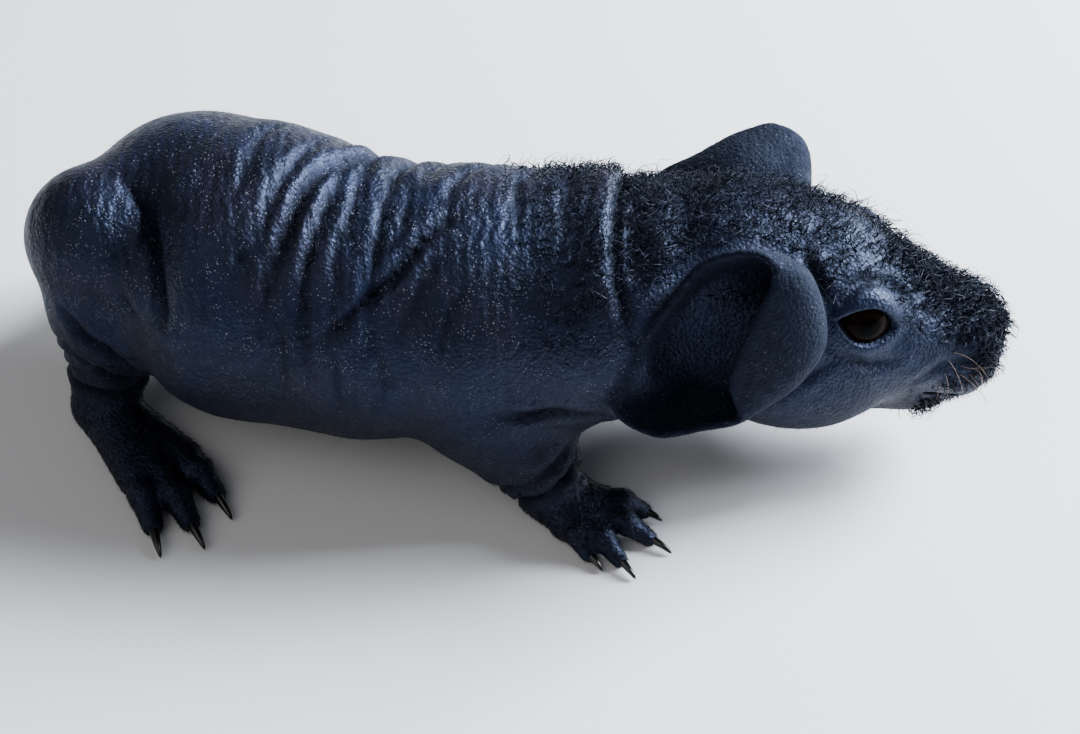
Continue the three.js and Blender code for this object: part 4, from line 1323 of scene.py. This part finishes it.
def hair_tree():
    tree = bpy.data.node_groups.new("curly_hair", "GeometryNodeTree")
    tree.interface.new_socket("Geometry", in_out="INPUT", socket_type="NodeSocketGeometry")
    for name, kind in HAIR_INPUTS:
        tree.interface.new_socket(name, in_out="INPUT", socket_type=kind)
    tree.interface.new_socket("Geometry", in_out="OUTPUT", socket_type="NodeSocketGeometry")

    def add(kind, inputs=None, **settings):
        node = tree.nodes.new(kind)
        for key, value in settings.items():
            setattr(node, key, value)
        for key, value in (inputs or {}).items():
            if isinstance(value, bpy.types.NodeSocket):
                tree.links.new(value, node.inputs[key])
            else:
                node.inputs[key].default_value = value
        return node

    def calc(operation, a, b=0.0):
        return add("ShaderNodeMath", {0: a, 1: b}, operation=operation).outputs[0]

    def attribute(name, kind):
        node = add("GeometryNodeInputNamedAttribute", {"Name": name}, data_type=kind)
        return next(s for s in node.outputs if s.enabled and s.name == "Attribute")

    given = add("NodeGroupInput").outputs
    density = calc("MULTIPLY", calc("MULTIPLY", given["Hairs per mm2"], 1e6), attribute("cover", "FLOAT"))
    spots = add("GeometryNodeDistributePointsOnFaces", {
        "Mesh": given["Geometry"], "Density": density, "Seed": given["Seed"]}, distribute_method="RANDOM")

    curls = add("GeometryNodeJoinGeometry")
    for share in (0.6, 1.0, 1.5):
        spiral = add("GeometryNodeCurveSpiral", {
            "Resolution": 16, "Rotations": calc("MULTIPLY", given["Curl turns"], share), "Start Radius": 0.0,
            "End Radius": calc("MULTIPLY", given["Curl width"], MM), "Height": CURL_HEIGHT * MM})
        few = add("GeometryNodeResampleCurve", {"Curve": spiral.outputs[0], "Count": 5})
        along = add("GeometryNodeSplineParameter").outputs["Factor"]
        thick = calc("MULTIPLY", given["Thickness mm"], MM / 2)
        taper = calc("MULTIPLY", calc("SUBTRACT", 1.08, along), thick)
        ring = add("GeometryNodeCurvePrimitiveCircle", {"Resolution": 3, "Radius": 1.0})
        solid = add("GeometryNodeCurveToMesh", {
            "Curve": few.outputs[0], "Profile Curve": ring.outputs[0], "Scale": taper, "Fill Caps": True})
        kept = add("GeometryNodeStoreNamedAttribute", {
            "Geometry": solid.outputs[0], "Name": "along", "Value": along}, data_type="FLOAT", domain="POINT")
        single = add("GeometryNodeGeometryToInstance", {0: kept.outputs[0]})
        tree.links.new(single.outputs[0], curls.inputs[0])

    def chance(low, high, seed, kind="FLOAT"):
        node = add("FunctionNodeRandomValue", data_type=kind)
        bounds = [s for s in node.inputs if s.enabled and s.name in ("Min", "Max")]
        for socket, value in zip(bounds, (low, high)):
            socket.default_value = value
        next(s for s in node.inputs if s.name == "Seed").default_value = seed
        return next(s for s in node.outputs if s.enabled)

    any_way = chance((-1, -1, -1), (1, 1, 1), 3, "FLOAT_VECTOR")
    stray = add("ShaderNodeVectorMath", {0: any_way, "Scale": given["Disorder"]}, operation="SCALE")
    heading = add("ShaderNodeVectorMath", {
        0: attribute("aim", "FLOAT_VECTOR"), 1: stray.outputs[0]}, operation="ADD")
    turned = add("FunctionNodeAlignRotationToVector", {"Vector": heading.outputs[0]}, axis="Z")
    spin = add("FunctionNodeAxisAngleToRotation", {"Axis": (0, 0, 1), "Angle": chance(0.0, 6.283, 5)})
    rotation = add("FunctionNodeRotateRotation", {
        0: turned.outputs[0], 1: spin.outputs[0]}, rotation_space="LOCAL")
    size = calc("MULTIPLY", attribute("reach", "FLOAT"), chance(0.6, 1.25, 7))
    grown = add("GeometryNodeInstanceOnPoints", {
        "Points": spots.outputs["Points"], "Instance": curls.outputs[0], "Pick Instance": True,
        "Instance Index": chance(0, 2, 9, "INT"), "Rotation": rotation.outputs[0], "Scale": size})
    real = add("GeometryNodeRealizeInstances", {"Geometry": grown.outputs[0]})
    inside_patch = add("ShaderNodeCombineXYZ", {
        "X": calc("MULTIPLY", attribute("along", "FLOAT"), PATCH),
        "Y": calc("MULTIPLY", chance(0, 1, 11), PATCH)})
    patch = add("ShaderNodeVectorMath", {
        0: attribute("root", "FLOAT_VECTOR"), 1: inside_patch.outputs[0]}, operation="ADD")
    mapped = add("GeometryNodeStoreNamedAttribute", {
        "Geometry": real.outputs[0], "Name": "OFBake"}, data_type="FLOAT2", domain="CORNER")
    tree.links.new(patch.outputs[0], next(s for s in mapped.inputs if s.enabled and s.name == "Value"))
    finished = add("GeometryNodeSetMaterial", {"Geometry": mapped.outputs[0], "Material": given["Finish"]})
    tree.links.new(finished.outputs[0], add("NodeGroupOutput").inputs[0])
    return tree


hair_nodes = hair_tree()
print("hair tree with", len(hair_nodes.nodes), "nodes")

# %% [markdown]
# Hair is black too, and a little paler towards its tips. It shines along its length in broad soft
# glints, so it is rougher than the claws. The hair of the feet is blacker and sleeker than the rest.


# %% Hair finish
HAIR_SHEEN = (0.45, 0.6, 1.0, 1)
HAIR_TIP = (0.007, 0.007, 0.010, 1)


def hair_finish(name, dark, light, roughness, sheen):
    f = Finish(name)
    tone = f.mix(f.map(f.noise(350, 3), 0.35, 0.65), dark, light)
    tip = f.math("MULTIPLY", f.weight("along"), 0.5)
    f.shade(Base_Color=f.mix(tip, tone, HAIR_TIP), Roughness=roughness, Specular_IOR_Level=0.14,
            Specular_Tint=HAIR_SHEEN, Sheen_Weight=sheen, Sheen_Roughness=0.4, Sheen_Tint=HAIR_SHEEN)
    return f.material


# Darker and lighter tone, roughness and sheen
black_hair = hair_finish("black_hair", (0.0009, 0.0011, 0.0022, 1), (0.0026, 0.0030, 0.0056, 1), 0.42, 0.02)
sleek_hair = hair_finish("sleek_hair", (0.0005, 0.0005, 0.0006, 1), (0.0012, 0.0012, 0.0014, 1), 0.30, 0.0)
print("hair finishes:", black_hair.name, "and", sleek_hair.name, "on the feet")

# %% [markdown]
# Each region of hair is grown from the part of the skin that bears it, and then turned into plain mesh.


# %% Growing the coat
def region_source(name, cover, length, stand, heading):
    """The bearing part of the skin, with what the tree reads stored on its vertices."""
    used = (cover[skin_tris] > 0.02).any(axis=1)
    kept, faces = np.unique(skin_tris[used], return_inverse=True)
    p, out = skin_points[kept], skin_out[kept]
    forward = np.broadcast_to(heading, skin_points.shape)[kept]
    aim = hair_lie(out, forward) + out * stand
    aim /= np.linalg.norm(aim, axis=1, keepdims=True)
    source = mesh_object(name + "_source", p, faces.reshape(-1, 3), {
        "cover": cover[kept], "reach": np.broadcast_to(length, len(skin_points))[kept]})
    source.data.attributes.new("aim", "FLOAT_VECTOR", "POINT").data.foreach_set("vector", aim.ravel())
    root = np.column_stack((skin_uv[kept], np.zeros(len(kept))))
    source.data.attributes.new("root", "FLOAT_VECTOR", "POINT").data.foreach_set("vector", root.ravel())
    return source


# Hair that would reach the floor is bent along it, at this height in mm
ABOVE_FLOOR = 0.02


def grow(name, values, cover, length, stand, heading):
    source = region_source(name, cover, length, stand, heading)
    modifier = source.modifiers.new("hair", "NODES")
    modifier.node_group = hair_nodes
    for item in hair_nodes.interface.items_tree:
        if item.in_out == "INPUT" and item.name in values:
            modifier[item.identifier] = values[item.name]
    deps = bpy.context.evaluated_depsgraph_get()
    mesh = bpy.data.meshes.new_from_object(source.evaluated_get(deps), depsgraph=deps)
    source.modifiers.remove(modifier)
    bpy.data.objects.remove(source)
    piece = bpy.data.objects.new(name, mesh)
    mesh.name = name
    bpy.context.collection.objects.link(piece)
    spots = np.empty(3 * len(mesh.vertices))
    mesh.vertices.foreach_get("co", spots)
    spots[2::3] = np.maximum(spots[2::3], ABOVE_FLOOR * MM)
    mesh.vertices.foreach_set("co", spots)
    for spare in [a.name for a in mesh.attributes if a.name in ("root", "aim", "cover", "reach")]:
        mesh.attributes.remove(mesh.attributes[spare])
    mesh.shade_smooth()
    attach(piece, "root")
    triangles = sum(len(face.vertices) - 2 for face in mesh.polygons)
    print(f"{name}: {triangles} triangles")
    return piece


# Hairs to a square mm, thickness in mm, curl width and turns, disorder
COAT = {
    "crown": (4.3, 0.095, 0.52, 0.95, 0.65),
    "face": (2.4, 0.07, 0.36, 0.8, 0.5),
    "muzzle": (6.0, 0.115, 0.58, 0.9, 0.7),
    "stray": (0.5, 0.07, 0.85, 1.0, 0.9),
    "ears": (1.6, 0.06, 0.25, 0.6, 0.5),
    "feet": (6.5, 0.085, 0.16, 0.3, 0.28),
    "body": (0.30, 0.055, 0.30, 0.7, 0.5),
}
from_heels = [np.linalg.norm(skin_points[:, :2] - foot["heel"], axis=1) for foot in FEET.values()]
nearest_foot = np.argmin(from_heels, axis=0)
for seed, (region, (count, thick, width, turns, disorder)) in enumerate(COAT.items()):
    cover, *lie = HAIR[region]
    shares = {"fuzz_" + region: cover}
    if region == "feet":
        shares = {"fuzz_" + name: cover * (nearest_foot == i) for i, name in enumerate(FEET)}
    for name, share in shares.items():
        grow(name, {
            "Hairs per mm2": count, "Thickness mm": thick, "Curl width": width, "Curl turns": turns,
            "Disorder": disorder, "Seed": seed + 1,
            "Finish": sleek_hair if region == "feet" else black_hair}, share, *lie)

# %% [markdown]
# The whiskers of this breed are short, bent and pale. Each is a thin tapering tube that starts inside the
# lip and curls back on its way out. They are few, so a loop makes them and no node tree is needed.

# %% Whiskers
WHISKERS, WHISKERS_IN_ROW = 13, 4
WHISKER_RINGS, WHISKER_AROUND = 11, 4
WHISKER_THICKNESS = 0.05


def whisker_points(side, place, skin_tree):
    """Rings of one whisker. Its place, from 0 to 1, spreads the roots in rows over the lip."""
    row, step = divmod(place * WHISKERS, WHISKERS_IN_ROW)
    spot = on_head(np.array((20.5 + 1.9 * step, 8.5, -3.8 + 1.9 * row)) * side)
    near, normal, _, _ = skin_tree.find_nearest(spot.tolist())
    out = np.array(normal)
    if out @ (spot - on_head((22, 0, -2))) < 0:
        out = -out
    start = np.array(near) - 0.4 * out
    length = 4.5 + 4.0 * ((place * 7.31) % 1)
    bend = HEAD_AXES @ (np.array((-0.5, 0.3, math.sin(place * 40))) * side)
    ahead = HEAD_AXES[:, 0] * (0.4 - 0.5 * math.cos(place * 23))
    rings = []
    for ring in range(WHISKER_RINGS):
        t = ring / (WHISKER_RINGS - 1)
        at = start + (out + ahead) * length * t * 0.75 + bend * length * 0.45 * t**2
        at = at + np.cross(out, bend) * 0.35 * math.sin(5 * t + place * 9)
        radius = WHISKER_THICKNESS * (1 - 0.8 * t)
        for corner in range(WHISKER_AROUND):
            turn = 2 * math.pi * corner / WHISKER_AROUND
            rings.append(at + radius * (HEAD_AXES[:, 2] * math.cos(turn) + HEAD_AXES[:, 0] * math.sin(turn)))
    return [start] + rings + [at]


def whisker_piece():
    skin_tree = BVHTree.FromPolygons(skin_points.tolist(), skin_tris.tolist())
    points, faces, roots = [], [], []
    for side in SIDES.values():
        for i in range(WHISKERS):
            hair = whisker_points(side, i / WHISKERS, skin_tree)
            faces += ringed_faces(len(points), WHISKER_RINGS, WHISKER_AROUND)
            points += hair
            root = skin_uv[np.argmin(((skin_points - hair[0]) ** 2).sum(1))]
            roots += [root + (PATCH * j / len(hair), PATCH * (j % 2)) for j in range(len(hair))]
    piece = mesh_object("whiskers", np.array(points), faces)
    turned_out(piece)
    layer = piece.data.uv_layers.new(name="OFBake")
    for loop in piece.data.loops:
        layer.data[loop.index].uv = roots[loop.vertex_index]
    f = Finish("pale_whisker")
    f.shade(Base_Color=f.mix(f.noise(300, 2), (0.10, 0.045, 0.035, 1), (0.34, 0.25, 0.22, 1)), Roughness=0.35)
    piece.data.materials.append(f.material)
    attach(piece, "root")
    return piece


print(whisker_piece().name, 2 * WHISKERS)

# %% [markdown]
# The stage is a plain pale floor. A large soft light stands behind and to the right, as a window would,
# and gives the blue sheen along the back. A smaller one, low on the right, brings out the forehead and
# the thigh, and a weak one fills in from the camera's side.

# %% Floor, lights and camera
FLOOR_SIZE = 16.0
PHOTO_SIZE = (1080, 734)
FOCAL_PIXELS = 2160
CAMERA_TARGET = np.array((0.0, -9.0, 16.0))
CAMERA_DISTANCE, CAMERA_ELEVATION = 300.0, math.radians(45)
LIT_SPOT = (0, 0, 0.015)


def stage_floor():
    mesh = bpy.data.meshes.new("floor")
    half = FLOOR_SIZE / 2
    corners = [(-half, -half, 0), (half, -half, 0), (half, half, 0), (-half, half, 0)]
    mesh.from_pydata(corners, [], [(0, 1, 2, 3)])
    floor = bpy.data.objects.new("floor", mesh)
    bpy.context.collection.objects.link(floor)
    f = Finish("pale_floor")
    f.shade(Base_Color=f.mix(f.noise(9, 2), (0.62, 0.625, 0.64, 1), (0.67, 0.675, 0.685, 1)), Roughness=0.75,
            Normal=f.bump(f.noise(2000, 2), 0.08, 0.05))
    mesh.materials.append(f.material)


def area_light(name, place, size, watts, colour):
    data = bpy.data.lights.new(name, "AREA")
    data.size, data.energy, data.color = size, watts, colour
    lamp = bpy.data.objects.new(name, data)
    lamp.location = place
    lamp.rotation_euler = (Vector(LIT_SPOT) - Vector(place)).to_track_quat("-Z", "Y").to_euler()
    bpy.context.collection.objects.link(lamp)


stage_floor()
area_light("window_light", place=(0.56, 0.28, 0.44), size=0.36, watts=36.0, colour=(0.86, 0.92, 1.0))
area_light("side_light", place=(0.80, 0.16, 0.30), size=0.22, watts=12.0, colour=(0.84, 0.90, 1.0))
area_light("room_light", place=(-0.50, -0.40, 0.60), size=0.8, watts=3.0, colour=(1.0, 0.96, 0.92))
world = bpy.data.worlds.new("soft_room")
bpy.context.scene.world = world
world.use_nodes = True
sky = world.node_tree.nodes["Background"].inputs
sky["Color"].default_value = (0.88, 0.92, 1.0, 1)
sky["Strength"].default_value = 0.20

back_and_up = np.array((0.0, -math.cos(CAMERA_ELEVATION), math.sin(CAMERA_ELEVATION)))
camera_data = bpy.data.cameras.new("camera")
camera_data.sensor_width = 36.0
camera_data.lens = camera_data.sensor_width * FOCAL_PIXELS / PHOTO_SIZE[0]
camera_data.clip_start = 0.01
camera = bpy.data.objects.new("camera", camera_data)
camera.location = (CAMERA_TARGET + CAMERA_DISTANCE * back_and_up + SHIFT) * MM
camera.rotation_euler = (math.pi / 2 - CAMERA_ELEVATION, 0, 0)
bpy.context.collection.objects.link(camera)
bpy.context.scene.camera = camera
print("camera", [round(x, 4) for x in camera.location], "lens", camera_data.lens)

# %% [markdown]
